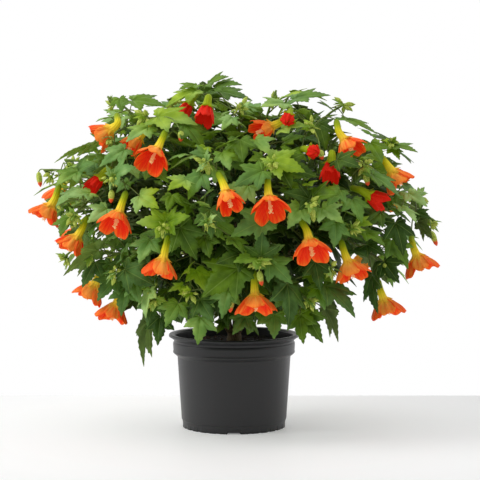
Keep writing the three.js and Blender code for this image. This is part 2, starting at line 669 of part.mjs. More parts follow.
function seenLeaf(row, spots, roll, nudge) {
  const [x0, y0, x1, y1, lean, inset] = row;
  const depth = domeDepth(x0, y0) - inset + nudge[0];
  const foot = spot(x0, y0, depth);
  const flat = sub(spot(x1, y1, depth), foot);
  const seen = Math.min(size(flat), LEAF_LONG);
  const length = Math.max(seen * LEAF_GROWN, Math.min(LEAF_COMMON, seen * LEAF_STRETCH));
  const way = unit(add(mul(unit(flat), seen), [0, -Math.sqrt(length * length - seen * seen), 0]));
  const sky = Math.max(0, Math.min(1, (SKY_ROW - y0) / SKY_SPAN));
  const level = add(mul(outward(foot), FACE_OUT), mul(UP, FACE_UP[0] + FACE_UP[1] * sky));
  const face = unit(add(level, mul(unit(sub(EYE, foot)), FACE_VIEWER[0] + FACE_VIEWER[1] * sky)));
  const hook = best(spots, (s) => {
    const away = sub(foot, s.point);
    const fit = dot(unit(away), unit(add(way, face)));
    return Math.abs(size(away) - STALK_LENGTH) + 25 * Math.max(0, 0.5 - fit) + 0.4 * Math.max(0, -away[2]);
  });
  const droop = LEAF_DROOP[0] + LEAF_DROOP[1] * roll[0];
  const skew = [skewFrom(roll[1]), skewFrom(roll[2])];
  return makeLeaf(hook.node, hook.point, foot, way, face, lean + nudge[1], length, droop, skew);
}

// Where a measured leaf finds no clear place it moves in depth, in mm, or rolls, in degrees.
const NUDGES = [
  [0, 0], [8, 0], [-8, 0], [0, 18], [0, -18], [16, 10], [-16, -10], [0, 40], [0, -40], [0, 62],
  [0, -62], [-24, 0], [24, 0], [12, -25], [-12, 25], [-34, 12], [34, -12], [-45, 0],
];

function placeSeenLeaves(spots, leaves) {
  const roll = dice(3301);
  for (const row of SEEN_LEAVES) {
    const rolls = [roll(), roll(), roll()];
    const fitting = NUDGES.map((nudge) => seenLeaf(row, spots, rolls, nudge)).filter(leafFits);
    const leaf = fitting.find((tried) => leafInside(tried, SEEN_SLACK)) ?? fitting[0];
    if (leaf) settle(leaf, leaves);
  }
}

function middleOf(leaf) {
  return mix(leaf.foot, leaf.rim[leaf.lobes.length], 0.5);
}

// A leaf between the eye and a bloom of the near side would hide it.
function hidesBloom(leaf, blooms) {
  const middle = middleOf(leaf);
  for (const bloom of blooms.slice(0, FRONT_BLOOMS.length)) {
    const heart = add(bloom.mouth, mul(bloom.axis, BLOOM_HEART));
    if (middle[1] > heart[1]) continue;
    const ray = unit(sub(heart, EYE));
    const off = sub(middle, EYE);
    if (size(sub(off, mul(ray, dot(off, ray)))) < BLOOM_ROOM) return true;
  }
  return false;
}

function fillCandidate(spotAt, count, roll) {
  const { node, point, way, t } = spotAt;
  const out = outward(point);
  const turn = (count * GOLDEN_TURN + 120 * (roll() - 0.5)) * degrees;
  const off = turned(across(out, way), way, turn);
  const stalkWay = unit(add(add(mul(off, 0.9), mul(way, 0.35)), add(mul(out, 0.45), mul(UP, 0.15))));
  const foot = add(point, mul(stalkWay, FILL_STALK[0] + FILL_STALK[1] * roll()));
  const flat = unit(add(mul([stalkWay[0], stalkWay[1], stalkWay[2] * 0.3], 0.8), mul(outward(foot), 0.5)));
  const blade = unit(add(flat, [0, 0, -0.25 - 0.7 * roll()]));
  const face = unit(add(mul(outward(foot), 0.6), mul(UP, 0.65)));
  const length = (t > 0.9 ? FILL_TIP_LENGTH : FILL_LENGTH[0]) + FILL_LENGTH[1] * roll();
  const lean = FILL_ROLL * (roll() - 0.5);
  const droop = FILL_DROOP[0] + FILL_DROOP[1] * roll();
  const skew = [skewFrom(roll()), skewFrom(roll())];
  return makeLeaf(node, point, foot, blade, face, lean, length, droop, skew);
}

function fillScore(leaf, leaves) {
  const middle = middleOf(leaf);
  let near = FILL_FAR;
  for (const other of leaves) near = Math.min(near, size(sub(middle, middleOf(other))));
  const share = domeShare(middle);
  return near + 45 * Math.min(share, 1) - 160 * Math.max(0, share - 1.03);
}

function placeFill(spots, blooms, leaves) {
  const roll = dice(FILL_SEED);
  const order = spots.filter((s) => s.t > FILL_FROM && s.point[1] > FILL_BEHIND)
    .map((s, i) => ({ ...s, key: (i * 7919) % 1009 }));
  order.sort((a, b) => a.key - b.key);
  let count = 0;
  for (const spotAt of order) {
    if (count >= FILL_LIMIT) break;
    const tries = [];
    for (let k = 0; k < FILL_TRIES; k++) tries.push(fillCandidate(spotAt, count + k, roll));
    const scored = tries.map((leaf) => [fillScore(leaf, leaves), leaf]);
    const ranked = scored.filter(([score]) => score > FILL_SCORE).sort((a, b) => b[0] - a[0]);
    const found = ranked.find(([, leaf]) => {
      return leafInside(leaf, FILL_SLACK) && !hidesBloom(leaf, blooms) && leafFits(leaf);
    });
    if (found) {
      settle(found[1], leaves);
      count += 1;
    }
  }
}

// Solids.
function solid(points, triangles) {
  const mesh = new wasm.Mesh({
    numProp: 3,
    vertProperties: new Float32Array(points.flat()),
    triVerts: new Uint32Array(triangles.flat()),
  });
  return new wasm.Manifold(mesh);
}

function tube(path, radii, sides) {
  const points = [];
  const triangles = [];
  let e1 = null;
  path.forEach((p, i) => {
    const way = unit(sub(path[Math.min(i + 1, path.length - 1)], path[Math.max(i - 1, 0)]));
    e1 = across(e1 || (Math.abs(way[2]) < 0.9 ? UP : [1, 0, 0]), way);
    const e2 = cross(way, e1);
    for (let k = 0; k < sides; k++) {
      const angle = (2 * Math.PI * k) / sides;
      points.push(add(p, mul(add(mul(e1, Math.cos(angle)), mul(e2, Math.sin(angle))), radii[i])));
    }
  });
  for (let i = 0; i + 1 < path.length; i++) {
    for (let k = 0; k < sides; k++) {
      const a = i * sides + k;
      const b = i * sides + ((k + 1) % sides);
      triangles.push([a, b, b + sides], [a, b + sides, a + sides]);
    }
  }
  const last = (path.length - 1) * sides;
  for (let k = 1; k + 1 < sides; k++) triangles.push([0, k + 1, k], [last, last + k, last + k + 1]);
  return solid(points, triangles);
}

// A turned body whose outline starts and ends on the axis: those two rows close in a fan.
function turnedBody(profile, sides) {
  const inner = profile.slice(1, -1);
  const points = [];
  const triangles = [];
  for (let i = 0; i < sides; i++) {
    const angle = (2 * Math.PI * i) / sides;
    for (const [r, z] of inner) points.push([r * Math.cos(angle), r * Math.sin(angle), z]);
  }
  const rows = inner.length;
  const low = points.push([0, 0, profile[0][1]]) - 1;
  const high = points.push([0, 0, profile[profile.length - 1][1]]) - 1;
  for (let i = 0; i < sides; i++) {
    const a = i * rows;
    const b = ((i + 1) % sides) * rows;
    triangles.push([low, b, a], [high, a + rows - 1, b + rows - 1]);
    for (let k = 0; k + 1 < rows; k++) {
      triangles.push([a + k, b + k, b + k + 1], [a + k, b + k + 1, a + k + 1]);
    }
  }
  return solid(points, triangles);
}

function box(x0, x1, y0, y1, z0, z1, angle) {
  const c = Math.cos(angle);
  const s = Math.sin(angle);
  const points = [];
  for (const z of [z0, z1]) {
    for (const [x, y] of [[x0, y0], [x1, y0], [x1, y1], [x0, y1]]) {
      points.push([x * c - y * s, x * s + y * c, z]);
    }
  }
  const triangles = [[0, 2, 1], [0, 3, 2], [4, 5, 6], [4, 6, 7], [0, 1, 5], [0, 5, 4], [1, 2, 6], [1, 6, 5],
    [2, 3, 7], [2, 7, 6], [3, 0, 4], [3, 4, 7]];
  return solid(points, triangles);
}

function fuse(list) {
  let row = list;
  while (row.length > 1) {
    const next = [];
    for (let i = 0; i < row.length; i += 2) next.push(i + 1 < row.length ? row[i].add(row[i + 1]) : row[i]);
    row = next;
  }
  return row[0];
}

function potBody() {
  const lipFoot = POT_HEIGHT - LIP_DEPTH;
  const collarTop = lipFoot - GROOVE;
  const collarFoot = collarTop - COLLAR_DEPTH;
  const bodyTop = collarFoot - COLLAR_STEP;
  const outline = [
    [0, 0], [FOOT_RADIUS, 0], [FOOT_RADIUS + 0.4, FOOT_BAND], [BODY_FOOT_RADIUS, FOOT_BAND + 0.6],
    [BODY_TOP_RADIUS, bodyTop], [COLLAR_RADIUS - 1.5, collarFoot - 1], [COLLAR_RADIUS, collarFoot + 2],
    [COLLAR_RADIUS + 0.4, collarTop - 1.6], [COLLAR_RADIUS - GROOVE_DEPTH, collarTop],
    [COLLAR_RADIUS - GROOVE_DEPTH, lipFoot], [LIP_RADIUS - 1.5, lipFoot + 4.4], [LIP_RADIUS, lipFoot + 6],
    [LIP_RADIUS - 1, POT_HEIGHT], [COLLAR_RADIUS - GROOVE_DEPTH - WALL, POT_HEIGHT - 1.4],
    [COLLAR_RADIUS - GROOVE_DEPTH - WALL, collarFoot + 1], [BODY_TOP_RADIUS - WALL, bodyTop - 1],
    [FOOT_RADIUS - WALL, FLOOR], [0, FLOOR],
  ];
  let body = turnedBody(outline, POT_SIDES);
  for (let i = 0; i < DRAIN_COUNT; i++) {
    const angle = -Math.PI / 2 + (2 * Math.PI * i) / DRAIN_COUNT;
    const cut = box(FOOT_RADIUS - DRAIN_REACH, FOOT_RADIUS + 6, -DRAIN_WIDTH / 2, DRAIN_WIDTH / 2,
      -5, DRAIN_HEIGHT, angle);
    body = body.subtract(cut);
  }
  return body;
}

function soilBody() {
  const roll = dice(61);
  const low = FLOOR + SOIL_GAP;
  const collarFoot = POT_HEIGHT - LIP_DEPTH - GROOVE - COLLAR_DEPTH;
  const bodyTop = collarFoot - COLLAR_STEP - 1;
  const wallAt = (z) => {
    const t = (z - FLOOR) / (bodyTop - FLOOR);
    return FOOT_RADIUS - WALL + (BODY_TOP_RADIUS - FOOT_RADIUS) * t;
  };
  const facet = BODY_TOP_RADIUS * (1 - Math.cos(Math.PI / POT_SIDES));
  const inset = SOIL_GAP + facet;
  const outline = [
    [0, low], [wallAt(low) - inset, low], [wallAt(bodyTop) - inset, bodyTop],
    [wallAt(bodyTop) - inset + 1, SOIL_TOP - 1], [60, SOIL_TOP + 1 + SOIL_BUMP * roll()],
    [34, SOIL_TOP + SOIL_BUMP * roll()], [0, SOIL_TOP + 1],
  ];
  const body = turnedBody(outline, SOIL_SIDES);
  const hole = tube([[0, 0, CROWN_FOOT - NODE_GAP], [0, 0, SOIL_TOP + 20]],
    [CROWN_RADIUS + 2 + NODE_GAP, CROWN_RADIUS + 2 + NODE_GAP], 8);
  return body.subtract(hole);
}

function woodyBody(stems) {
  const crown = tube([[0, 0, CROWN_FOOT], [0, 0, SOIL_TOP + 4], [0, 0, CROWN_TOP]],
    [CROWN_RADIUS, CROWN_RADIUS, CROWN_RADIUS * 0.9], 8);
  const stubs = stems.map((stem) => {
    const path = stem.main.slice(0, WOODY_BENDS + 1);
    path[0] = [path[0][0] * 0.6, path[0][1] * 0.6, CROWN_TOP - 8];
    return tube(path, path.map((_, i) => mainRadius(i / MAIN_BENDS)), STEM_SIDES);
  });
  return fuse([crown, ...stubs]);
}

function leafBody(leaf) {
  const { foot, way, side, normal, rim, root } = leaf;
  const count = rim.length;
  const half = Math.floor(count / 2);
  const raised = sub(mul(normal, BLADE_ROOT), mul(way, BLADE_ROOT));
  const points = rim.map((p) => add(p, mul(normal, BLADE_HALF)));
  points.push(...rim.map((p) => sub(p, mul(normal, BLADE_HALF))));
  const top = points.push(add(foot, raised)) - 1;
  const right = points.push(sub(sub(foot, raised), mul(side, BLADE_ROOT))) - 1;
  const left = points.push(add(sub(foot, raised), mul(side, BLADE_ROOT))) - 1;
  const stalk = unit(sub(foot, root));
  const e1 = across(raised, stalk);
  let e2 = cross(stalk, e1);
  if (dot(e2, side) < 0) e2 = mul(e2, -1);
  const low = sub(root, mul(e1, PETIOLE_ROOT * 0.6));
  const rootTop = points.push(add(root, mul(e1, PETIOLE_ROOT))) - 1;
  const rootRight = points.push(sub(low, mul(e2, PETIOLE_ROOT * 0.9))) - 1;
  const rootLeft = points.push(add(low, mul(e2, PETIOLE_ROOT * 0.9))) - 1;
  const triangles = [];
  for (let i = 0; i + 1 < count; i++) {
    triangles.push([top, i, i + 1], [i < half ? right : left, count + i + 1, count + i]);
    triangles.push([i, count + i, count + i + 1], [i, count + i + 1, i + 1]);
  }
  triangles.push([right, left, count + half]);
  triangles.push([top, right, count], [top, count, 0]);
  triangles.push([count - 1, 2 * count - 1, left], [count - 1, left, top]);
  for (const [a, b, a2, b2] of [[right, top, rootRight, rootTop], [top, left, rootTop, rootLeft],
    [left, right, rootLeft, rootRight]]) {
    triangles.push([a, b, b2], [a, b2, a2]);
  }
  triangles.push([rootRight, rootTop, rootLeft]);
  return solid(points, triangles);
}

function branchBody(stem, node, leaves, blooms) {
  const main = stem.main.slice(WOODY_BENDS);
  const step = sub(main[1], main[0]);
  main[0] = add(main[0], mul(unit(step), 2 * NODE_GAP));
  const list = [tube(main, main.map((_, i) => mainRadius((i + WOODY_BENDS) / MAIN_BENDS)), STEM_SIDES)];
  for (const side of stem.sides) {
    list.push(tube(side.path, side.path.map((_, i) => sideRadius(i / SIDE_BENDS)), STEM_SIDES));
  }
  for (const bloom of blooms) {
    if (bloom.node === node) list.push(tube(bloom.path, BLOOM_RADII, STEM_SIDES));
  }
  for (const leaf of leaves) {
    if (leaf.node === node) list.push(leafBody(leaf));
  }
  return fuse(list);
}

function bloomBody(bloom) {
  const { mouth, axis } = bloom;
  const points = [];
  const triangles = [];
  const roots = [];
  for (let k = 0; k < PETALS; k++) {
    const { outer, inner } = petalPoints(bloom, k);
    roots.push([points.push(outer[1]) - 1, points.push(inner[1]) - 1]);
  }
  for (let k = 0; k < PETALS; k++) {
    const [o0, i0] = roots[k];
    const [o1, i1] = roots[(k + 1) % PETALS];
    const { rim, outer } = petalPoints(bloom, k);
    const normal = unit(cross(sub(rim[0], outer[0]), sub(rim[2], outer[0])));
    const first = points.length;
    for (const p of rim) points.push(add(p, mul(normal, PETAL_HALF)), sub(p, mul(normal, PETAL_HALF)));
    const [r0, s0, r1, s1, r2, s2] = [0, 1, 2, 3, 4, 5].map((i) => first + i);
    triangles.push([o0, o1, r0], [o0, r0, r1], [o0, r1, r2], [i0, s0, i1], [i0, s1, s0], [i0, s2, s1]);
    triangles.push([o1, i1, s0], [o1, s0, r0], [r0, s0, s1], [r0, s1, r1], [r1, s1, s2], [r1, s2, r2]);
    triangles.push([r2, s2, i0], [r2, i0, o0]);
  }
  const crest = points.push(add(mouth, mul(axis, NODE_GAP))) - 1;
  const column = points.length;
  for (let k = 0; k < PETALS; k++) {
    const way = across(sub(petalPoints(bloom, k).inner[1], mouth), axis);
    const tip = add(mouth, mul(axis, COLUMN_LENGTH));
    points.push(add(tip, mul(way, COLUMN_RADIUS)));
  }
  for (let k = 0; k < PETALS; k++) {
    const n = (k + 1) % PETALS;
    triangles.push([crest, roots[n][0], roots[k][0]]);
    triangles.push([roots[k][1], roots[n][1], column + n], [roots[k][1], column + n, column + k]);
  }
  for (let k = 1; k + 1 < PETALS; k++) triangles.push([column, column + k, column + k + 1]);
  return solid(points, triangles);
}

function asMesh(body, name, colour, roughness) {
  const mesh = body.getMesh();
  const geometry = new THREE.BufferGeometry();
  geometry.setAttribute("position", new THREE.BufferAttribute(new Float32Array(mesh.vertProperties), 3));
  geometry.setIndex(new THREE.BufferAttribute(new Uint32Array(mesh.triVerts), 1));
  const material = new THREE.MeshStandardMaterial({ color: colour, roughness, metalness: 0 });
  const part = new THREE.Mesh(geometry, material);
  part.name = name;
  return part;
}

const stems = stemList();
placeStems(stems);
const spots = stemSpots(stems);
const blooms = placeBlooms(spots);
const leaves = [];
placeSeenLeaves(spots, leaves);
placeFill(spots, blooms, leaves);

const group = new THREE.Group();
group.name = "flowering_maple";
group.add(asMesh(potBody(), "pot", 0x26292b, 0.55));
group.add(asMesh(soilBody(), "soil", 0x2c1e14, 0.95));
group.add(asMesh(woodyBody(stems), "woody_stems", 0x6b5a3a, 0.8));
stems.forEach((stem, node) => {
  group.add(asMesh(branchBody(stem, node, leaves, blooms), `leafy_branch_${node + 1}`, 0x3f6b2c, 0.6));
});
blooms.forEach((bloom, index) => group.add(asMesh(bloomBody(bloom), `bloom_${index + 1}`, 0xf05a1e, 0.6)));

export default group;
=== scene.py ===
# %% [markdown]
# # A flowering maple in a black nursery pot
# This lesson dresses a plant whose plain solids come from CAD. Each leafy branch and each bloom is one solid
# there. We grow the same stems, stalks, leaves and bells again with finer surfaces, so that every piece stays
# in its place. All sizes are in millimetres and are turned to metres when a mesh is made.

# %% Load the frame
import math
import bpy
import numpy as np
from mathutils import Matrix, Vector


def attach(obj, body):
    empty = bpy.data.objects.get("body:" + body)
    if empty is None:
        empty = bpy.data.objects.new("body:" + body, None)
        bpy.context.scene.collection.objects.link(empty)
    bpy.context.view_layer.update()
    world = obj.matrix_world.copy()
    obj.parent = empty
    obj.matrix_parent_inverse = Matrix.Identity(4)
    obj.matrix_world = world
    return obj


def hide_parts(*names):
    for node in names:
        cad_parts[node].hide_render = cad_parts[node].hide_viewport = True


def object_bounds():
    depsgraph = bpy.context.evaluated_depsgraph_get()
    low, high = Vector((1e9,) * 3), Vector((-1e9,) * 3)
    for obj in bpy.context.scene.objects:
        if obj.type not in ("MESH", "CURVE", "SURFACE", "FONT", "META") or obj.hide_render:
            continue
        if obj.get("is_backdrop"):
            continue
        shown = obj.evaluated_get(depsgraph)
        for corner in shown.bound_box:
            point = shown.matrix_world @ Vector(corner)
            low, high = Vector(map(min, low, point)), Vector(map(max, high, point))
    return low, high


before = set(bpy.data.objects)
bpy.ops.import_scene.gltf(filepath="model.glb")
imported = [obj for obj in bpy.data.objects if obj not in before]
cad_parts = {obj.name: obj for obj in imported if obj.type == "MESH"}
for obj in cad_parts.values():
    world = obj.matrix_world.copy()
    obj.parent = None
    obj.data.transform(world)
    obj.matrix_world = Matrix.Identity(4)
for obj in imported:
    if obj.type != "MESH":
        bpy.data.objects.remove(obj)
cad_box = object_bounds()
print("CAD box", cad_box)

# %% [markdown]
# ## The camera first
# The photograph looks a little down on the plant from far away. A long lens well in front of the pot, aimed
# at the middle of the picture, gives the same small fall toward the floor.

# %% Camera
MM = 0.001
MM_PER_PIXEL = 1.5
AXIS_PIXEL = 234
FLOOR_PIXEL = 427
PICTURE = 480
EYE = np.array([9.0, -2400.0, 415.0])
AIM = np.array([9.0, 0.0, 280.5])
SENSOR = 36.0

span = PICTURE * MM_PER_PIXEL
lens = bpy.data.cameras.new("photo_camera")
lens.sensor_width = SENSOR
lens.lens = SENSOR * math.dist(EYE, AIM) / span
lens.clip_end = 50
camera = bpy.data.objects.new("photo_camera", lens)
camera.location = EYE * MM
camera.rotation_euler = (math.pi / 2 - math.atan2(EYE[2] - AIM[2], -EYE[1]), 0, 0)
bpy.context.scene.collection.objects.link(camera)
bpy.context.scene.camera = camera
print("lens", round(lens.lens, 1), "mm")

# %% [markdown]
# ## Measured places
# Shoot tips, blooms and single leaves are read from the photograph in its 480 by 480 frame. The same lists
# drive the solids, so a leaf or a bell stands at the same place in both.

# %% Shoots
# Near side: a tip's column, row and share of the plant's depth, then its side shoots with the same three
# and the share of the main shoot where each one leaves.
FRONT_STEMS = [
    ([44, 170, 1], [[75, 215, 1, 0.55]]), ([108, 97, 1], [[110, 138, 1, 0.6]]),
    ([147, 117, 1], [[113, 178, 1, 0.5]]), ([201, 83, 0.2], [[168, 100, 0.7, 0.6]]),
    ([240, 109, 1], [[207, 162, 1, 0.5]]), ([276, 91, 0.5], [[272, 163, 1, 0.5]]),
    ([343, 105, 1], [[312, 128, 1, 0.55]]), ([391, 143, 1], [[365, 165, 1, 0.6]]),
    ([417, 195, 1], [[436, 222, 1, 0.7]]), ([311, 203, 1], [[330, 268, 0.9, 0.5]]),
    ([351, 229, 1], [[384, 264, 1, 0.6]]), ([258, 262, 1], [[308, 300, 0.9, 0.5]]),
    ([163, 228, 1], [[208, 222, 1, 0.55], [190, 292, 0.95, 0.55]]),
    ([116, 272, 1], [[90, 255, 1, 0.7], [155, 300, 0.95, 0.6]]),
]
# Far side: the compass angle and the height angle of a tip, then its side shoots' angles less the tip's.
BACK_STEMS = [
    ([12, 8], [[18, -30], [14, 23]]), ([48, 12], [[22, -34], [16, 38]]),
    ([84, 10], [[24, -32], [-30, 52]]), ([118, 12], [[22, -32], [-8, 36]]),
    ([150, 10], [[20, -30], [2, 38]]), ([172, 24], [[6, -18], [-44, 44]]),
]

# %% Blooms and leaves
# Near side: column and row of the tube's top, of its mouth and of the rim's middle, the rim's radius in
# pixels, how many millimetres the bell stands inside the dome, and its tilt toward the viewer in degrees.
FRONT_BLOOMS = [
    [59, 184, 51, 206, 44, 219, 17.5, 0, 0], [85, 218, 77, 237, 71, 247, 17, 0, 0],
    [97, 272, 94, 285, 88, 297, 16, 0, -5], [121, 284, 116, 305, 111, 321, 17.5, 0, 0],
    [125, 192, 119, 213, 114, 230, 18, 0, 22], [168, 236, 163, 259, 159, 277, 18, 0, 0],
    [164, 132, 157, 150, 151, 163, 18, 0, 32], [116, 116, 110, 130, 99, 138, 15, -8, -5],
    [108, 170, 100, 178, 93, 186, 9, 45, 10], [148, 126, 139, 138, 131, 147, 11, 50, 10],
    [198, 94, 189, 105, 184, 113, 9, 62, 15], [209, 101, 207, 107, 205, 119, 12, 10, 25],
    [218, 174, 226, 192, 231, 206, 14, 0, 25], [268, 177, 269, 198, 271, 214, 19, 0, 30],
    [302, 221, 309, 240, 313, 257, 19, 0, 20], [254, 270, 255, 295, 256, 312, 21, 0, 6],
    [342, 241, 348, 262, 354, 278, 18, 0, 5], [379, 280, 384, 300, 389, 314, 18, 0, -5],
    [413, 238, 417, 256, 422, 268, 18, 0, -5], [382, 156, 392, 172, 400, 183, 16, 0, -8],
    [336, 121, 344, 140, 352, 152, 17, 0, 12], [331, 157, 331, 163, 330, 175, 12, 12, 20],
    [291, 112, 288, 118, 287, 121, 5, 0, 55], [282, 122, 271, 127, 262, 131, 13, 40, 15],
    [305, 149, 311, 151, 314, 152, 5, 0, 55], [355, 188, 369, 195, 380, 201, 12, 12, 0],
]
# Far side: the compass angle and the height angle.
BACK_BLOOMS = [
    [34, 6], [44, -20], [54, 24], [66, -4], [82, 34], [92, -16], [108, 12], [124, -20], [138, 22],
    [148, -8], [158, 10],
]
# Column and row of a blade's foot and of its tip, its lean in degrees, and how far it stands inside the dome.
SEEN_LEAVES = [
    [87, 148, 55, 162, 60, 0], [105, 141, 78, 157, 50, 0], [120, 99, 124, 113, 0, 0],
    [133, 101, 166, 108, 0, 0], [112, 118, 97, 122, 20, 0], [122, 118, 103, 136, 0, 0],
    [78, 172, 58, 186, 0, 0], [77, 172, 98, 163, 0, 8], [90, 193, 69, 196, 10, 10],
    [148, 128, 128, 142, 0, -6], [125, 150, 101, 167, 0, 0], [115, 175, 137, 167, 0, 0],
    [197, 86, 180, 91, 0, 0], [195, 92, 167, 108, 0, 0], [209, 84, 228, 79, 20, 0],
    [215, 88, 241, 87, 30, 0], [218, 92, 252, 102, 0, 0], [158, 117, 197, 125, 0, 0],
    [185, 125, 206, 150, 0, 6], [222, 153, 230, 170, 0, 0], [207, 156, 190, 153, 0, 0],
    [240, 140, 243, 162, 0, 0], [232, 118, 222, 131, 0, 0], [295, 99, 329, 96, 0, 0],
    [283, 104, 260, 108, 0, 0], [330, 109, 316, 103, 0, 0], [318, 124, 325, 150, 0, 6],
    [271, 161, 304, 172, 0, 0], [262, 171, 233, 187, 0, 0], [279, 166, 316, 178, 10, 8],
    [337, 160, 358, 168, 0, 0], [370, 143, 380, 163, 0, 0], [345, 120, 377, 134, -20, 0],
    [392, 146, 416, 152, -15, 0], [391, 148, 398, 160, 0, 0], [390, 141, 372, 137, 0, 0],
    [372, 175, 400, 195, -30, 0], [408, 193, 425, 206, 0, 0], [98, 251, 60, 273, 52, 0],
    [95, 262, 84, 287, 0, 0], [107, 209, 90, 222, 0, 0], [125, 270, 155, 285, 0, 0],
    [115, 280, 99, 299, 0, 6], [70, 218, 62, 236, 0, 0], [72, 210, 62, 206, 0, 0],
    [127, 288, 122, 315, 0, 8], [165, 222, 137, 222, 0, 0], [168, 222, 190, 215, 0, 0],
    [202, 175, 189, 199, 0, 0], [180, 228, 197, 259, 0, 0], [210, 210, 212, 238, 0, 6],
    [248, 186, 234, 209, 0, 0], [265, 220, 231, 236, 0, 0], [240, 254, 217, 262, 0, 0],
    [205, 238, 210, 257, 0, 10], [261, 256, 262, 231, 0, 0], [265, 254, 284, 244, 0, 0],
    [258, 256, 233, 259, 20, 0], [238, 269, 203, 296, 0, 0], [172, 195, 168, 211, 0, 0],
    [309, 199, 283, 192, 0, 0], [313, 197, 337, 194, 0, 0], [300, 207, 287, 228, 0, 0],
    [322, 208, 342, 222, 0, 4], [336, 223, 333, 247, 0, 0], [270, 262, 292, 283, 0, 0],
    [315, 262, 320, 290, 0, 8], [395, 223, 402, 255, 0, 0], [380, 212, 362, 225, 0, 0],
    [401, 207, 416, 222, -65, 0], [416, 213, 429, 219, 0, 0], [392, 240, 407, 268, 0, 8],
    [384, 262, 396, 283, 30, 0], [372, 275, 371, 314, 90, 0], [155, 300, 148, 325, 0, 0],
    [160, 317, 158, 345, 0, 0], [149, 322, 135, 368, 40, 0], [178, 304, 165, 325, 0, 4],
    [200, 300, 214, 320, 0, 0], [200, 318, 199, 343, 0, 0], [135, 283, 141, 302, 0, 8],
    [228, 290, 222, 317, 0, 6], [245, 317, 232, 333, 10, 4], [150, 290, 142, 317, 50, 4],
    [287, 284, 294, 326, 0, 0], [325, 309, 346, 341, -45, 0], [306, 311, 318, 344, 0, 0],
    [300, 315, 300, 343, 20, 8], [325, 286, 359, 312, -45, 0], [318, 288, 324, 308, 0, 8],
    [275, 315, 273, 337, 10, 0], [140, 196, 160, 208, 0, 0], [150, 165, 170, 182, 0, 4],
    [232, 238, 246, 252, 0, 8], [186, 180, 168, 190, 0, 8], [352, 200, 360, 222, 0, 4],
    [292, 150, 290, 172, 0, 10], [255, 140, 270, 155, 0, 6], [340, 190, 326, 205, 0, 8],
    [150, 240, 140, 262, 0, 6], [418, 222, 433, 241, -70, 0],
]
# Column and row of the upper and the lower edge of all leaves.
OUTLINE_TOP = [
    [24, 200], [32, 176], [44, 165], [60, 156], [80, 150], [88, 128], [100, 96], [112, 91], [136, 91],
    [168, 104], [180, 92], [192, 78], [224, 78], [240, 88], [256, 99], [268, 91], [280, 86], [304, 87],
    [344, 102], [360, 121], [380, 138], [400, 145], [412, 158], [424, 194], [444, 219],
]
OUTLINE_FOOT = [
    [24, 222], [48, 228], [60, 272], [80, 290], [100, 306], [120, 322], [136, 366], [152, 345], [290, 341],
    [345, 340], [360, 312], [400, 311], [416, 290], [430, 272], [444, 262],
]
# How many pixels a leaf may pass the outline: a measured one, one by rule, a small one.
SEEN_SLACK, FILL_SLACK, EXTRA_SLACK = 4, 0, -14
print(len(FRONT_BLOOMS) + len(BACK_BLOOMS), "blooms,", len(SEEN_LEAVES), "leaves measured")

# %% [markdown]
# ## From pixels to places
# A pixel gives a direction. The plant is close to an egg-shaped dome, so the dome gives the missing depth.

# %% Places
DOME = dict(x=236, y=214, half_width=208, half_height=152, depth=262)
DOME_CENTRE = np.array([4.0, 0.0, 318.0])
DOME_AXES = np.array([304.0, 272.0, 214.0])
UP = np.array([0.0, 0.0, 1.0])


def unit(a):
    """A vector divided by its length."""
    return a / (math.sqrt(float(a @ a)) or 1.0)


def across(a, axis):
    """What is left of a at right angles to the unit axis, made one long."""
    return unit(a - axis * float(a @ axis))


def turned(a, axis, angle):
    """a turned about a unit axis: cosine part, plus sine part sideways, plus what lies along the axis."""
    along_axis = axis * float(a @ axis) * (1 - math.cos(angle))
    return a * math.cos(angle) + np.cross(axis, a) * math.sin(angle) + along_axis


def spot(px, py, depth):
    """The point that far in front of the pot's axis which the camera sees at this pixel."""
    k = (EYE[1] + depth) / EYE[1]
    flat_x = MM_PER_PIXEL * (px - AXIS_PIXEL)
    flat_z = MM_PER_PIXEL * (FLOOR_PIXEL - py)
    return np.array([EYE[0] + (flat_x - EYE[0]) * k, -depth, EYE[2] + (flat_z - EYE[2]) * k])


def pixels(points):
    """The pixels at which the camera sees points: their offsets from the eye, shrunk by the distance."""
    k = (EYE[1] - points[..., 1]) / EYE[1]
    return np.stack([AXIS_PIXEL + (EYE[0] + (points[..., 0] - EYE[0]) / k) / MM_PER_PIXEL,
                     FLOOR_PIXEL - (EYE[2] + (points[..., 2] - EYE[2]) / k) / MM_PER_PIXEL], -1)


def inside_outline(points, slack):
    """True where all points show inside the plant's outline, widened by a slack in pixels."""
    x, y = pixels(points).T
    top = np.interp(x, *np.array(OUTLINE_TOP).T)
    foot = np.interp(x, *np.array(OUTLINE_FOOT).T)
    known = (x >= OUTLINE_TOP[0][0]) & (x <= OUTLINE_TOP[-1][0])
    return bool((known & (y > top - slack) & (y < foot + slack)).all())


def dome_depth(px, py):
    """Depth of the dome's near side at a pixel: the square root of one less the squares of both offsets."""
    ex = (px - DOME["x"]) / DOME["half_width"]
    ey = (py - DOME["y"]) / DOME["half_height"]
    return DOME["depth"] * math.sqrt(max(0.0, 1 - ex * ex - ey * ey))


def dome_point(azimuth, elevation, share):
    """A point on the dome by compass angle and height angle."""
    a, e = math.radians(azimuth), math.radians(elevation)
    way = np.array([math.cos(e) * math.cos(a), math.cos(e) * math.sin(a), math.sin(e)])
    return DOME_CENTRE + DOME_AXES * way * share


def dome_share(p):
    """1 on the dome, less inside it."""
    e = (p - DOME_CENTRE) / DOME_AXES
    return math.sqrt(float(e @ e))


def outward(p):
    """The dome's outward direction at p: the offset over the squares of the half axes."""
    return unit((p - DOME_CENTRE) / DOME_AXES ** 2)


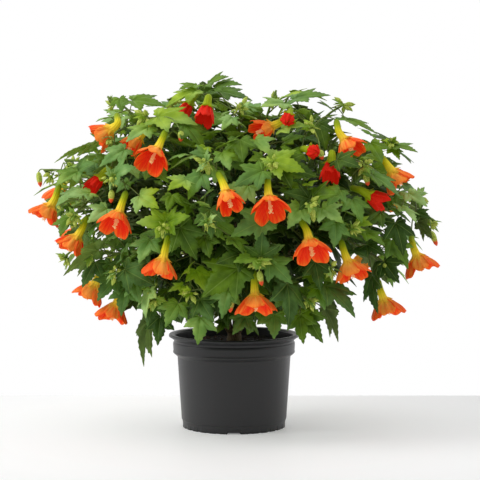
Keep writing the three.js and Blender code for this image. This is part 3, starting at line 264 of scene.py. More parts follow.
class Dice:
    """Repeatable numbers from 0 to 1: the state times a factor, less whole turns of a large prime."""

    FACTOR, PRIME = 16807, 2147483647

    def __init__(self, seed):
        self.state = seed

    def __call__(self):
        self.state = (self.state * self.FACTOR) % self.PRIME
        return self.state / self.PRIME


print("dome depth at the middle", dome_depth(DOME["x"], DOME["y"]))

# %% [markdown]
# ## Shoots
# A shoot leaves the crown steeply and arches over at its tip. A curve with two guide points does this: the
# first guide stands over the crown, the second a little above the tip.

# %% Shoot paths
CROWN_FOOT, CROWN_TOP, CROWN_RADIUS, CROWN_SPREAD, CROWN_SINK = 112.0, 146.0, 12.0, 9.0, 4
# Guides of a main shoot: shares of the way out and of the rise, a lift, and an arch that grows with the way.
SECOND_OUT, SECOND_UP, SECOND_LIFT = 0.22, 0.45, 55
THIRD_OUT, THIRD_UP, THIRD_LIFT, THIRD_ARCH = 0.7, 0.82, 20, 0.12
# Guides of a side shoot: how far it follows the main one, its lift, and the share and the arch near its tip.
SIDE_FOLLOW, SIDE_LIFT, SIDE_OUT, SIDE_ARCH = 0.35, 6, 0.72, 0.12
HEADING_STEP = 0.04
MAIN_BENDS, SIDE_BENDS, WOODY_BENDS = 7, 3, 2
STEM_RADIUS, TIP_RADIUS, SIDE_RADIUS = 3.1, 1.6, 2.1
NEAR_TIPS, FAR_TIPS, FIRST_FORK, FORK_STEP = 0.96, 0.95, 0.5, 0.12


def guides_main(tip):
    """Four guide points of a main shoot: crown, above the crown, above the tip, tip."""
    azimuth = math.atan2(tip[1], tip[0])
    foot = CROWN_SPREAD * math.cos(azimuth), CROWN_SPREAD * math.sin(azimuth)
    start = np.array([*foot, CROWN_TOP - CROWN_SINK])
    rise = tip[2] - start[2]
    run = np.array([tip[0] - start[0], tip[1] - start[1], 0.0])
    reach = math.sqrt(float(run @ run))
    second = start + run * SECOND_OUT + UP * (SECOND_UP * rise + SECOND_LIFT)
    third = start + run * THIRD_OUT + UP * (THIRD_UP * rise + THIRD_LIFT + THIRD_ARCH * reach)
    return np.array([start, second, third, tip])


def curve(guides, count):
    """Points on the smooth curve of four guides, by the cubic sum of their shares."""
    t = np.linspace(0, 1, count + 1)[:, None]
    a, b, c, d = guides
    ab, bc, cd = a + (b - a) * t, b + (c - b) * t, c + (d - c) * t
    abc, bcd = ab + (bc - ab) * t, bc + (cd - bc) * t
    return abc + (bcd - abc) * t


def along(path, t):
    """The point at share t of a bent path."""
    at = min(len(path) - 1.0001, t * (len(path) - 1))
    i = int(math.floor(at))
    return path[i] * (1 - (at - i)) + path[i + 1] * (at - i)


def heading(path, t):
    """The path's direction at share t."""
    return unit(along(path, min(1, t + HEADING_STEP)) - along(path, max(0, t - HEADING_STEP)))


def guides_side(main, leave, tip):
    """Four guide points of a side shoot that leaves the main one."""
    start = along(main, leave)
    gap = math.sqrt(float((tip - start) @ (tip - start)))
    second = start + heading(main, leave) * gap * SIDE_FOLLOW + UP * SIDE_LIFT
    third = start + (tip - start) * SIDE_OUT + UP * gap * SIDE_ARCH
    return np.array([start, second, third, tip])


def grow_stem(tip, sides):
    """The bent paths of a main shoot and of its side shoots, each given by where it leaves and by its tip."""
    main = curve(guides_main(tip), MAIN_BENDS)
    return [main, *(curve(guides_side(main, leave, end), SIDE_BENDS) for leave, end in sides)]


def seen_tip(px, py, share):
    """A tip that the photograph shows, at a share of the dome's depth."""
    return spot(px, py, dome_depth(px, py) * share * NEAR_TIPS)


stems = []
for tip, sides in FRONT_STEMS:
    stems.append(grow_stem(seen_tip(*tip), [(leave, seen_tip(*side)) for *side, leave in sides]))
for (turn, high), sides in BACK_STEMS:
    ends = [dome_point(turn + more, high + up, FAR_TIPS) for more, up in sides]
    leaves_at = [FIRST_FORK + FORK_STEP * k for k in range(len(sides))]
    stems.append(grow_stem(dome_point(turn, high, FAR_TIPS), zip(leaves_at, ends)))
print(len(stems), "main shoots,", sum(len(shoots) - 1 for shoots in stems), "side shoots")

# %% [markdown]
# ## Keeping pieces clear of each other
# Real leaves turn until they are free. Each new leaf is tried against all that is in place: a blade is a
# fan of triangles with its edges shifted to both sides, and a stalk is a rod with four lines round it.

# %% Clearance
CLEARANCE = 1.0
ROD_SAMPLES = 24
NO_LINES, NO_TRIANGLES = np.zeros((0, 2, 3)), np.zeros((0, 3, 3))
NO_RODS = (NO_LINES, np.zeros(0))
placed = []
boxes_low, boxes_high = [], []


def thing(node, points, margin, **parts):
    """One placed piece and its box. border and rods are pairs of ends and radii."""
    nothing = dict(triangles=NO_TRIANGLES, edges=NO_LINES, border=NO_RODS, lines=NO_LINES, rods=NO_RODS)
    return {**nothing, **parts, "node": node, "low": points.min(0) - margin, "high": points.max(0) + margin}


def put(item):
    """Adds a piece to those in place."""
    placed.append(item)
    boxes_low.append(item["low"])
    boxes_high.append(item["high"])


def any_pierce(segments, triangles):
    """True if a segment passes through a triangle: solve for the two edge shares and the segment's own
    share."""
    if not len(segments) or not len(triangles):
        return False
    a, way = segments[:, None, 0], (segments[:, 1] - segments[:, 0])[:, None]
    p = triangles[None, :, 0]
    e1, e2 = (triangles[:, 1] - triangles[:, 0])[None], (triangles[:, 2] - triangles[:, 0])[None]
    h = np.cross(way, e2)
    det = (e1 * h).sum(-1)
    flat = np.abs(det) < 1e-9
    det = np.where(flat, 1.0, det)
    s = a - p
    u = (s * h).sum(-1) / det
    q = np.cross(s, e1)
    v = (way * q).sum(-1) / det
    w = (e2 * q).sum(-1) / det
    return bool((~flat & (u >= 0) & (u <= 1) & (v >= 0) & (u + v <= 1) & (w >= 0) & (w <= 1)).any())


def rods_meet(mine, theirs):
    """True if points along my rods come nearer to their rods than both radii and the clearance."""
    (ends, radius), (other, wide) = mine, theirs
    if not len(ends) or not len(other):
        return False
    t = np.linspace(0, 1, ROD_SAMPLES + 1)[None, :, None]
    p = ends[:, None, 0] + (ends[:, 1] - ends[:, 0])[:, None] * t
    way = other[:, 1] - other[:, 0]
    off = p[:, :, None] - other[:, 0]
    share = np.clip((off * way).sum(-1) / (way * way).sum(-1), 0, 1)
    gap = np.sqrt(((off - share[..., None] * way) ** 2).sum(-1))
    return bool((gap < radius[:, None, None] + wide + CLEARANCE).any())


def blade_thing(node, foot, rim, normal, half):
    """A thin blade as a fan from its foot, with its edges and ribs on three levels."""
    ring = np.vstack([foot, rim])
    triangles = np.stack([np.broadcast_to(foot, rim[:-1].shape), rim[:-1], rim[1:]], 1)
    closed = np.stack([ring, np.roll(ring, -1, 0)], 1)
    ribs = np.stack([np.broadcast_to(foot, ring[2:-1].shape), ring[2:-1]], 1)
    flat = np.concatenate([closed, ribs])
    edges = np.concatenate([flat + normal * s for s in (half + CLEARANCE, 0, -half - CLEARANCE)])
    border = (closed, np.full(len(closed), half))
    return thing(node, ring, half + CLEARANCE, triangles=triangles, edges=edges, border=border)


def rod_lines(a, b, radius):
    """Four lines round a rod, at its radius and the clearance."""
    way = unit(b - a)
    e1 = across(UP if abs(way[2]) < 0.9 else np.array([1.0, 0, 0]), way)
    e2 = np.cross(way, e1)
    reach = radius + CLEARANCE
    return np.array([[a + e * reach, b + e * reach] for e in (e1, e2, -e1, -e2)])


def rod_thing(node, a, b, radius):
    """A straight round piece."""
    ends = np.array([[a, b]])
    rods = (ends, np.array([radius]))
    return thing(node, ends[0], radius + CLEARANCE, lines=rod_lines(a, b, radius), rods=rods)


def put_path(node, path, radii):
    """A bent round piece as a row of rods."""
    for i in range(len(path) - 1):
        put(rod_thing(node, path[i], path[i + 1], max(radii[i], radii[i + 1])))


def crosses(mine, other):
    """True if two pieces meet. Pieces of one branch may touch with their stalks, but not with their
    blades."""
    if any_pierce(mine["edges"], other["triangles"]) or any_pierce(other["edges"], mine["triangles"]):
        return True
    if mine["node"] == other["node"]:
        return False
    if rods_meet(mine["border"], other["border"]):
        return True
    if any_pierce(mine["lines"], other["triangles"]) or any_pierce(other["lines"], mine["triangles"]):
        return True
    return (rods_meet(mine["rods"], other["rods"]) or rods_meet(mine["rods"], other["border"])
            or rods_meet(other["rods"], mine["border"]))


def is_clear(items):
    """True if no new piece meets one in place whose box it enters."""
    low, high = np.array(boxes_low), np.array(boxes_high)
    for item in items:
        near = ((low <= item["high"]) & (high >= item["low"])).all(1)
        if any(crosses(item, placed[k]) for k in np.flatnonzero(near)):
            return False
    return True


def taper(first, t):
    """A shoot's radius at share t: from the first radius to the tip's in a straight line."""
    return first + (TIP_RADIUS - first) * t


for node, shoots in enumerate(stems):
    for shoot, path in enumerate(shoots):
        shares = np.arange(len(path)) / (len(path) - 1)
        put_path(node, path, taper(SIDE_RADIUS if shoot else STEM_RADIUS, shares))
print(len(placed), "rods in place")

# %% Places on the shoots where a stalk may leave
MAIN_FROM, MAIN_PLACES, SIDE_FROM, SIDE_PLACES, LAST_PLACE = 0.36, 16, 0.12, 10, 0.985
SINK = 1.2


def stalk_place(node, path, t):
    """A place on a shoot, with the shoot's direction there."""
    return dict(node=node, t=t, point=along(path, t), way=heading(path, t))


def nearest_place(point, spare):
    """The place that costs least: its distance, and more if it lies under the point's height and a spare."""
    cost = np.sqrt(((spot_points - point) ** 2).sum(1))
    cost = cost + SINK * np.maximum(0, point[2] + spare - spot_points[:, 2])
    return spots[int(np.argmin(cost))]


spots = []
for node, shoots in enumerate(stems):
    for shoot, path in enumerate(shoots):
        first, steps = (SIDE_FROM, SIDE_PLACES) if shoot else (MAIN_FROM, MAIN_PLACES)
        for i in range(steps + 1):
            spots.append(stalk_place(node, path, first + (LAST_PLACE - first) * (i / steps)))
spot_points = np.array([s["point"] for s in spots])
print(len(spots), "places on the shoots")

# %% [markdown]
# ## Blooms
# Each bell hangs on a thin stalk that leaves the shoot, arches over and widens into a green tube. The
# tube's mouth and the middle of the rim were read from the photograph, and they give the bell's axis.

# %% Bells
TUBE_LENGTH, TUBE_STRAIGHT = 34.0, 14.0
TUBE_TOP_RADIUS, TUBE_MOUTH_RADIUS, PEDICEL_RADIUS = 3.4, 6.3, 1.0
SKIRT_DEPTH, SKIRT_RADIUS, PETAL_HALF, PETALS = 24.0, 27.0, 0.45, 5
PETAL_SPREAD = [(1.02, 0.84), (1.08, 0.94), (0.94, 1.18), (0.9, 1.22), (1.02, 1.02)]
COLUMN_LENGTH, COLUMN_RADIUS = 27.0, 2.3
BLOOM_OUT, TOP_INWARD, FAR_BLOOMS = 10, 0.7, 0.98
CLAW_TURN, CLAW_RADIUS, CLAW_DEPTH, RIM_TURN = 36, 6.2, 1.5, 31
HOOK_OVER, KNEE_SHARE, KNEE_BACK, KNEE_UP = 4, 0.6, 6, 3
BLOOM_RADII = [PEDICEL_RADIUS, PEDICEL_RADIUS, TUBE_TOP_RADIUS, TUBE_TOP_RADIUS + 1.6, TUBE_MOUTH_RADIUS]


def front_bloom(row):
    """Mouth, tube top, axis and rim radius of a bell that the photograph shows."""
    top_x, top_y, mouth_x, mouth_y, rim_x, rim_y, radius, inset, tilt = row
    depth = dome_depth(mouth_x, mouth_y) + BLOOM_OUT - inset
    mouth = spot(mouth_x, mouth_y, depth)
    drop = unit(spot(rim_x, rim_y, depth) - mouth)
    lean = math.radians(tilt)
    axis = drop * math.cos(lean) + np.array([0, -math.sin(lean), 0])
    back = spot(top_x, top_y, depth) - mouth
    inward = math.sqrt(max(0, TUBE_LENGTH ** 2 - float(back @ back)))
    top = mouth + unit(back + np.array([0, inward * TOP_INWARD, 0])) * TUBE_LENGTH
    return dict(mouth=mouth, top=top, axis=axis, radius=radius * MM_PER_PIXEL)


def back_bloom(row, roll):
    """A bell of the far side, by its place on the dome. Its axis falls and leans outward by chance, and its
    rim is 0.9 to 1.05 of the usual one."""
    mouth = dome_point(row[0], row[1], FAR_BLOOMS)
    out = outward(mouth)
    axis = unit(out * (0.25 + 0.5 * roll()) + np.array([0.2 * roll() - 0.1, 0, -1]))
    top = mouth + unit(axis * -1 + out * -0.3) * TUBE_LENGTH
    return dict(mouth=mouth, top=top, axis=axis, radius=SKIRT_RADIUS * (0.9 + 0.15 * roll()))


def bell_frame(bloom):
    """Two directions square to the bell's axis."""
    axis = bloom["axis"]
    e1 = across(np.array([0.0, -1, 0]) if abs(axis[1]) < 0.9 else UP, axis)
    return e1, np.cross(axis, e1)


def petal_points(bloom, index):
    """Rim and root points of one petal in the solid: at a turn, a reach from the axis and a depth along
    it."""
    e1, e2 = bell_frame(bloom)
    reach, hang_share = PETAL_SPREAD[index]

    def at(turn, far, depth):
        angle = math.radians(index * 360 / PETALS + turn)
        out = bloom["mouth"] + e1 * math.cos(angle) * far + e2 * math.sin(angle) * far
        return out + bloom["axis"] * depth

    wide, deep = bloom["radius"] * reach, SKIRT_DEPTH * hang_share
    rim = [(RIM_TURN, wide * 0.95, deep * 0.9), (0, wide * 1.03, deep), (-RIM_TURN, wide * 0.9, deep * 0.94)]
    roots = [at(turn, CLAW_RADIUS, CLAW_DEPTH) for turn in (CLAW_TURN, -CLAW_TURN)]
    return np.array([at(*place) for place in rim]), roots


def hang(bloom):
    """The place on a shoot that carries the bell, and the path of its stalk and tube."""
    hook = nearest_place(bloom["top"], HOOK_OVER)
    away = unit(bloom["top"] - bloom["mouth"])
    knee = hook["point"] * (1 - KNEE_SHARE) + bloom["top"] * KNEE_SHARE + away * KNEE_BACK + UP * KNEE_UP
    bell = bloom["mouth"] - bloom["axis"] * TUBE_STRAIGHT
    bloom["node"] = hook["node"]
    bloom["path"] = np.array([hook["point"], knee, bloom["top"], bell, bloom["mouth"]])


roll = Dice(977)
blooms = [front_bloom(row) for row in FRONT_BLOOMS] + [back_bloom(row, roll) for row in BACK_BLOOMS]
for index, bloom in enumerate(blooms):
    hang(bloom)
    put_path(bloom["node"], bloom["path"], BLOOM_RADII)
    for k in range(PETALS):
        rim, outer = petal_points(bloom, k)
        normal = unit(np.cross(rim[0] - outer[0], rim[2] - outer[0]))
        put(blade_thing(f"bell {index}", outer[1], np.vstack([outer[0], rim]), normal, PETAL_HALF))
    tip = bloom["mouth"] + bloom["axis"] * COLUMN_LENGTH
    put_path(f"bell {index}", [bloom["mouth"], tip], [COLUMN_RADIUS, COLUMN_RADIUS])
print(len(blooms), "blooms")

# %% [markdown]
# ## Leaves
# A blade has its foot on a long stalk and its midrib, side and face directions. Leaves that the photograph
# shows one by one come first, nudged until they are free. Then a rule fills the far side: several tries per
# place, the best spread one that is free wins.

# %% Leaf places
BLADE_HALF, PETIOLE_RADIUS, POT_ROOM, LIP_ROOM = 0.4, 1.1, 6, 4
LEAF_LONG, LEAF_COMMON, LEAF_FOLD = 66.0, 42.0, 0.1
POT_HEIGHT, LIP_RADIUS = 140.0, 98.0
BIG_LEAF = [[-0.15, 0.41], [0.48, 0.52], [0.45, 0.23]]
SMALL_LEAF = [[0.29, 0.5], [0.43, 0.2]]
SMALL_LEAF_UNDER = 48
LEAST_ANGLE, STALK_LENGTH, SKY_ROW, SKY_ROWS = 0.3, 34, 150, 70
NUDGES = [[0, 0], [8, 0], [-8, 0], [0, 18], [0, -18], [16, 10], [-16, -10], [0, 40], [0, -40], [0, 62],
          [0, -62], [-24, 0], [24, 0], [12, -25], [-12, 25], [-34, 12], [34, -12], [-45, 0]]


def leaf_rim(leaf):
    """Lobe tips and bays of the blade: shares along the midrib and sideways, lifted by the fold, less the
    droop."""
    def at(u, v, wide):
        lift = LEAF_FOLD * abs(v) - leaf["droop"] * (u * u + 0.8 * v * v)
        offset = leaf["way"] * u + leaf["side"] * v * wide + leaf["normal"] * lift
        return leaf["foot"] + offset * leaf["length"]

    right = [at(u, -v, leaf["skew"][0]) for u, v in leaf["lobes"]]
    left = [at(u, v, leaf["skew"][1]) for u, v in leaf["lobes"]][::-1]
    return np.array([*right, at(1, 0, 1), *left])


def make_leaf(node, root, foot, way, face, lean, length, droop, skew):
    """A blade whose midrib points along way and whose upper side looks along face, rolled by lean degrees."""
    flat = across(face, way)
    tilted = unit(way + flat * droop)
    normal = turned(across(face, tilted), tilted, math.radians(lean))
    lobes = SMALL_LEAF if length < SMALL_LEAF_UNDER else BIG_LEAF
    leaf = dict(node=node, root=root, foot=foot, way=tilted, side=np.cross(normal, tilted), normal=normal,
                length=length, droop=droop, lobes=lobes, skew=skew)
    leaf["rim"] = leaf_rim(leaf)
    leaf["middle"] = leaf["foot"] * 0.5 + leaf["rim"][len(lobes)] * 0.5
    return leaf


def leaf_things(leaf):
    """The blade and the stalk, for the clearance test."""
    return [blade_thing(leaf["node"], leaf["foot"], leaf["rim"], leaf["normal"], BLADE_HALF),
            rod_thing(leaf["node"], leaf["root"], leaf["foot"], PETIOLE_RADIUS)]


def leaf_fits(leaf):
    """True if the stalk meets the blade from behind or below, and both are clear of the pot and of all
    else."""
    stalk = unit(leaf["foot"] - leaf["root"])
    if float(stalk @ unit(leaf["way"] + leaf["normal"])) < LEAST_ANGLE:
        return False
    for p in [*leaf["rim"], leaf["foot"], (leaf["root"] + leaf["foot"]) / 2]:
        if p[2] < POT_HEIGHT + POT_ROOM and math.hypot(p[0], p[1]) < LIP_RADIUS + LIP_ROOM:
            return False
    return is_clear(leaf_things(leaf))


def settle(leaf, leaves):
    """Puts a leaf in place."""
    for item in leaf_things(leaf):
        put(item)
    leaves.append(leaf)


def seen_leaf(row, rolls, nudge):
    """A leaf read from the photograph: the missing part of its length points toward the camera. Its upper
    side looks outward, up and to the viewer, and more to the sky near the top of the plant."""
    x0, y0, x1, y1, lean, inset = row
    depth = dome_depth(x0, y0) - inset + nudge[0]
    foot = spot(x0, y0, depth)
    flat = spot(x1, y1, depth) - foot
    seen = min(math.sqrt(float(flat @ flat)), LEAF_LONG)
    length = max(seen * 1.04, min(LEAF_COMMON, seen * 1.3))
    way = unit(unit(flat) * seen + np.array([0, -math.sqrt(length * length - seen * seen), 0]))
    sky = min(1.0, max(0.0, (SKY_ROW - y0) / SKY_ROWS))
    face = unit(outward(foot) * 0.55 + UP * (0.4 + 0.7 * sky) + unit(EYE - foot) * (0.5 - 0.2 * sky))
    away = foot - spot_points
    far = np.sqrt((away ** 2).sum(1))
    fit = (away / far[:, None]) @ unit(way + face)
    cost = np.abs(far - STALK_LENGTH) + 25 * np.maximum(0, 0.5 - fit) + 0.4 * np.maximum(0, -away[:, 2])
    hook = spots[int(np.argmin(cost))]
    return make_leaf(hook["node"], hook["point"], foot, way, face, lean + nudge[1], length,
                     0.12 + 0.14 * rolls[0], [0.88 + 0.24 * rolls[1], 0.88 + 0.24 * rolls[2]])


def best_nudge(row, rolls):
    """The first free place that also shows inside the outline, or else the first free one."""
    found = None
    for nudge in NUDGES:
        leaf = seen_leaf(row, rolls, nudge)
        if leaf_fits(leaf):
            if inside_outline(leaf["rim"], SEEN_SLACK):
                return leaf
            found = found or leaf
    return found


leaves = []
roll = Dice(3301)
for row in SEEN_LEAVES:
    leaf = best_nudge(row, [roll(), roll(), roll()])
    if leaf is not None:
        settle(leaf, leaves)
print(len(leaves), "of", len(SEEN_LEAVES), "measured leaves in place")

# %% Leaves of the far side and the top, by rule
FILL_SEED, FILL_TRIES, FILL_LIMIT = 4127, 14, 53
FILL_FROM, FILL_BEHIND, FILL_SCORE = 0.42, -70, 58
FAR_ENOUGH, DOME_BONUS, DOME_FINE, DOME_LIMIT = 60.0, 45, 160, 1.03
TURN_STEP, MIX_FACTOR, MIX_PRIME = 131, 7919, 1009
GOLDEN_ANGLE, TURN_PLAY, NEAR_TIP, HEART_ROOM, HEART_DEPTH = 137.5, 120, 0.9, 40, 12
TIP_SIZE, SHOOT_SIZE = (38, 54), (46, 62)
FAR_HABIT = dict(along=0.35, stalk=(22, 34), outward=0.5, aside=0, rise=(-0.25, -0.7), lean=50,
                 droop=(0.1, 0.16), skew=(0.88, 0.24))


def rays_to(points):
    """Points, and their directions from the camera."""
    return np.array(points), np.array([unit(p - EYE) for p in points])


def stands_before(leaf, points, rays, room):
    """True if the blade stands before one of the points: nearer to the camera, and close to its ray."""
    off = leaf["middle"] - EYE
    side = off - rays * (rays @ off)[:, None]
    gap = np.sqrt((side ** 2).sum(1))
    return bool(((leaf["middle"][1] <= points[:, 1]) & (gap < room)).any())


hearts = rays_to([b["mouth"] + b["axis"] * HEART_DEPTH for b in blooms[:len(FRONT_BLOOMS)]])


def sprout(place, turn, size, habit, roll):
    """A leaf whose stalk leaves the shoot at a given turn. A pair (a, b) of the habit is a + b times a roll."""
    rolled = lambda pair: pair[0] + pair[1] * roll()
    out = outward(place["point"])
    off = turned(across(out, place["way"]), place["way"], turn)
    stalk = unit(off * 0.9 + place["way"] * habit["along"] + out * 0.45 + UP * 0.15)
    foot = place["point"] + stalk * rolled(habit["stalk"])
    flat = unit(np.array([stalk[0], stalk[1], stalk[2] * 0.3]) * 0.8 + outward(foot) * habit["outward"])
    aside = habit["aside"] * (roll() - 0.5) if habit["aside"] else 0.0
    blade = unit(flat + np.cross(UP, flat) * aside + UP * rolled(habit["rise"]))
    face = unit(outward(foot) * 0.6 + UP * 0.65)
    length = rolled((size[0], size[1] - size[0]))
    lean = habit["lean"] * (roll() - 0.5)
    droop = rolled(habit["droop"])
    skew = [rolled(habit["skew"]), rolled(habit["skew"])]
    return make_leaf(place["node"], place["point"], foot, blade, face, lean, length, droop, skew)


def fill_candidate(place, count, roll):
    """One try: the stalk turns round the shoot by the golden angle, the blade droops outward."""
    turn = math.radians(count * GOLDEN_ANGLE + TURN_PLAY * (roll() - 0.5))
    return sprout(place, turn, TIP_SIZE if place["t"] > NEAR_TIP else SHOOT_SIZE, FAR_HABIT, roll)


def fill_score(leaf, middles):
    """Distance to the nearest leaf, up to a limit, and a bonus for being near the dome but not past it."""
    near = min(FAR_ENOUGH, math.sqrt(float(((middles - leaf["middle"]) ** 2).sum(1).min())))
    share = dome_share(leaf["middle"])
    return near + DOME_BONUS * min(share, 1) - DOME_FINE * max(0, share - DOME_LIMIT)


def mixed(places, turn=0):
    """The places in a mixed order: their numbers times one prime, less whole turns of another."""
    rank = lambda pair: ((pair[0] + TURN_STEP * turn) * MIX_FACTOR) % MIX_PRIME
    return [place for _, place in sorted(enumerate(places), key=rank)]


roll = Dice(FILL_SEED)
count = 0
for place in mixed([s for s in spots if s["t"] > FILL_FROM and s["point"][1] > FILL_BEHIND]):
    if count >= FILL_LIMIT:
        break
    middles = np.array([leaf["middle"] for leaf in leaves])
    tries = [fill_candidate(place, count + k, roll) for k in range(FILL_TRIES)]
    ranked = [(fill_score(leaf, middles), leaf) for leaf in tries]
    ranked = sorted([pair for pair in ranked if pair[0] > FILL_SCORE], key=lambda pair: -pair[0])
    fits = (leaf for _, leaf in ranked if inside_outline(leaf["rim"], FILL_SLACK)
            and not stands_before(leaf, *hearts, HEART_ROOM) and leaf_fits(leaf))
    found = next(fits, None)
    if found is not None:
        settle(found, leaves)
        count += 1
print(count, "leaves by rule,", len(leaves), "in all")

# %% [markdown]
# ## More leaves than the solids can hold
# A flowering maple carries hundreds of leaves. The solids keep the large ones; the smaller and the inner
# ones grow here by the same rule, and each is still kept clear of all that is in place.

# %% Small and inner leaves
EXTRA_SEED, EXTRA_TRIES, BEST_TRIES, FAR_SIDE = 5309, 5, 2, 60
BLOOM_ROOM, TUBE_ROOM = 27, 17
LOW_FROM, LOW_TO, LOW_PLACES = 0.1, 0.34, 7
INNER_HABIT = dict(along=0.3, stalk=(11, 34), outward=0.4, aside=1.4, rise=(0.1, -1.0), lean=80,
                   droop=(0.08, 0.2), skew=(0.85, 0.3))
near_tubes = [(b["mouth"] + b["top"]) / 2 for b in blooms[:len(FRONT_BLOOMS)]]
tubes = rays_to(near_tubes + [path[-1] for shoots in stems for path in shoots])
low_spots = [stalk_place(node, shoots[0], t) for node, shoots in enumerate(stems)
             for t in np.linspace(LOW_FROM, LOW_TO, LOW_PLACES)]
far_spots = [place for place in spots if place["point"][1] > FAR_SIDE]


def free_leaf(place, size, gap, far, slack, roll):
    """The try farthest from its neighbours that is free, inside the outline and hides no bloom or tube."""
    known = np.array(middles)
    tries = [sprout(place, 2 * math.pi * roll(), size, INNER_HABIT, roll) for _ in range(EXTRA_TRIES)]
    gaps = [math.sqrt(float(((known - leaf["middle"]) ** 2).sum(1).min())) for leaf in tries]
    for room, k in sorted(zip(gaps, range(EXTRA_TRIES)), reverse=True)[:BEST_TRIES]:
        leaf = tries[k]
        if room < gap or dome_share(leaf["middle"]) > far:
            continue
        if stands_before(leaf, *hearts, BLOOM_ROOM) or stands_before(leaf, *tubes, TUBE_ROOM):
            continue
        if inside_outline(leaf["rim"], slack) and leaf_fits(leaf):
            return leaf
    return None


def scatter(places, rounds, size, gap, far, slack, roll):
    """Tries a leaf at every given place of the shoots, for some rounds. It stands at least a gap from other
    leaves, not past a share of the dome, and not past the outline with its slack."""
    before = len(extra)
    for turn in range(rounds):
        for place in mixed(places, turn):
            leaf = free_leaf(place, size, gap, far, slack, roll)
            if leaf is not None:
                settle(leaf, extra)
                middles.append(leaf["middle"])
    print(len(extra) - before, "more leaves,", size, "mm long")


roll = Dice(EXTRA_SEED)
extra = []
middles = [leaf["middle"] for leaf in leaves]
scatter(spots + low_spots, 2, (34, 50), 13, 0.76, -20, roll)
scatter(spots + low_spots, 2, (22, 42), 12, 1.0, EXTRA_SLACK, roll)
scatter(low_spots, 4, (26, 44), 12, 1.0, 0, roll)
scatter(far_spots, 2, (36, 54), 16, 1.0, -10, roll)

# %% [markdown]
# ## Two ways to make a surface
# A thin blade is a slab: two sheets of a grid and strips that close its border. A stalk is a pipe: rings
# carried along a path, closed by fans. Both take many shapes of one kind at once, as whole arrays.

# %% Slabs and pipes
def units(a):
    """Each vector divided by its length."""
    return a / np.maximum(np.linalg.norm(a, axis=-1, keepdims=True), 1e-12)


def strip(a, b):
    """Four-sided faces between two rows of indices, a to b."""
    return np.stack([a[..., 1:], a[..., :-1], b[..., :-1], b[..., 1:]], -1).reshape(-1, 4)


def slabs(upper, lower):
    """Closed slabs from two sheets (count, rows, columns, 3): their points, sheet faces and border faces."""
    count, rows, columns, _ = upper.shape
    points = np.stack([upper, lower], 1).reshape(-1, 3)
    index = np.arange(len(points)).reshape(count, 2, rows, columns)
    top, low = index[:, 0], index[:, 1]
    corners = lambda g: np.stack([g[:, :-1, :-1], g[:, 1:, :-1], g[:, 1:, 1:], g[:, :-1, 1:]], -1)
    sheets = np.concatenate([corners(top).reshape(-1, 4), corners(low).reshape(-1, 4)[:, ::-1]])
    border = np.concatenate([strip(top[:, -1], low[:, -1]), strip(low[:, 0], top[:, 0]),
                             strip(top[:, :, 0], low[:, :, 0]), strip(low[:, :, -1], top[:, :, -1])])
    return points, sheets, border


def ring_faces(count, stations, sides):
    """Faces between the rings of pipes, and a fan at both ends. Each pipe's two end points come after all
    rings."""
    index = np.arange(count * stations * sides).reshape(count, stations, sides)
    loop = np.concatenate([index, index[:, :, :1]], 2)
    quads = np.stack([loop[:, :-1, :-1], loop[:, :-1, 1:], loop[:, 1:, 1:], loop[:, 1:, :-1]], -1)
    poles = (count * stations * sides + np.arange(2 * count)).reshape(count, 2, 1)
    first = [np.broadcast_to(poles[:, 0], (count, sides)), loop[:, 0, 1:], loop[:, 0, :-1]]
    last = [np.broadcast_to(poles[:, 1], (count, sides)), loop[:, -1, :-1], loop[:, -1, 1:]]
    fans = np.concatenate([np.stack(fan, -1).reshape(-1, 3) for fan in (first, last)])
    return quads.reshape(-1, 4), fans


def ring_uv(around, count, stations):
    """Surface coordinates of pipes: the share around and the share along. The end points stand in the
    middle."""
    shape = (count, stations, len(around))
    wall = [np.broadcast_to(around, shape), np.broadcast_to(np.linspace(0, 1, stations)[:, None], shape)]
    ends = [np.full(2 * count, 0.5), np.tile([0.0, 1.0], count)]
    return np.stack([np.concatenate([w.ravel(), end]) for w, end in zip(wall, ends)], -1)


def pipes(paths, radii, sides):
    """Closed pipes along paths (count, stations, 3), with a radius per station or per point. A ring point
    is the path plus the radius times (e1 cos + e2 sin), where e1 and e2 stand across the path."""
    count, stations, _ = paths.shape
    ways = units(np.gradient(paths, axis=1))
    flat = np.cross(paths[:, -1] - paths[:, 0], UP)
    flat = np.where(np.linalg.norm(flat, axis=-1, keepdims=True) < 1e-3, [1.0, 0, 0], flat)[:, None]
    e1 = units(flat - ways * (flat * ways).sum(-1, keepdims=True))
    e2 = np.cross(ways, e1)
    angle = np.arange(sides) * 2 * math.pi / sides
    radii = np.asarray(radii, float)
    radii = radii if radii.ndim == 3 else np.repeat(radii[..., None], sides, -1)
    ring = e1[:, :, None] * np.cos(angle)[:, None] + e2[:, :, None] * np.sin(angle)[:, None]
    wall = paths[:, :, None] + ring * radii[..., None]
    ends = np.stack([paths[:, 0], paths[:, -1]], 1)
    points = np.concatenate([wall.reshape(-1, 3), ends.reshape(-1, 3)])
    return points, ring_faces(count, stations, sides), ring_uv(np.arange(sides) / sides, count, stations)


def spread(values, per):
    """One value per shape, repeated for each of its points."""
    return np.repeat(np.asarray(values, float), per)


print("slab and pipe ready")

# %% Joining bands of surface into one object
def band(points, faces, material, uv, tone=0.5, back=0.0, flat=(False, False)):
    """A run of points and two sets of faces with one finish. tone and back are values for the finish at
    each point, flat says which set is shaded flat."""
    size = len(points)
    return dict(points=points, faces=faces, material=material, uv=uv, flat=flat,
                tone=np.broadcast_to(tone, size), back=np.broadcast_to(back, size))


def pipe_band(paths, radii, sides, material, tone=0.5):
    """Pipes as one band; tone is a number or one per pipe."""
    points, faces, uv = pipes(paths, radii, sides)
    if np.ndim(tone):
        tone = np.concatenate([spread(tone, paths.shape[1] * sides), spread(tone, 2)])
    return band(points, faces, material, uv, tone)


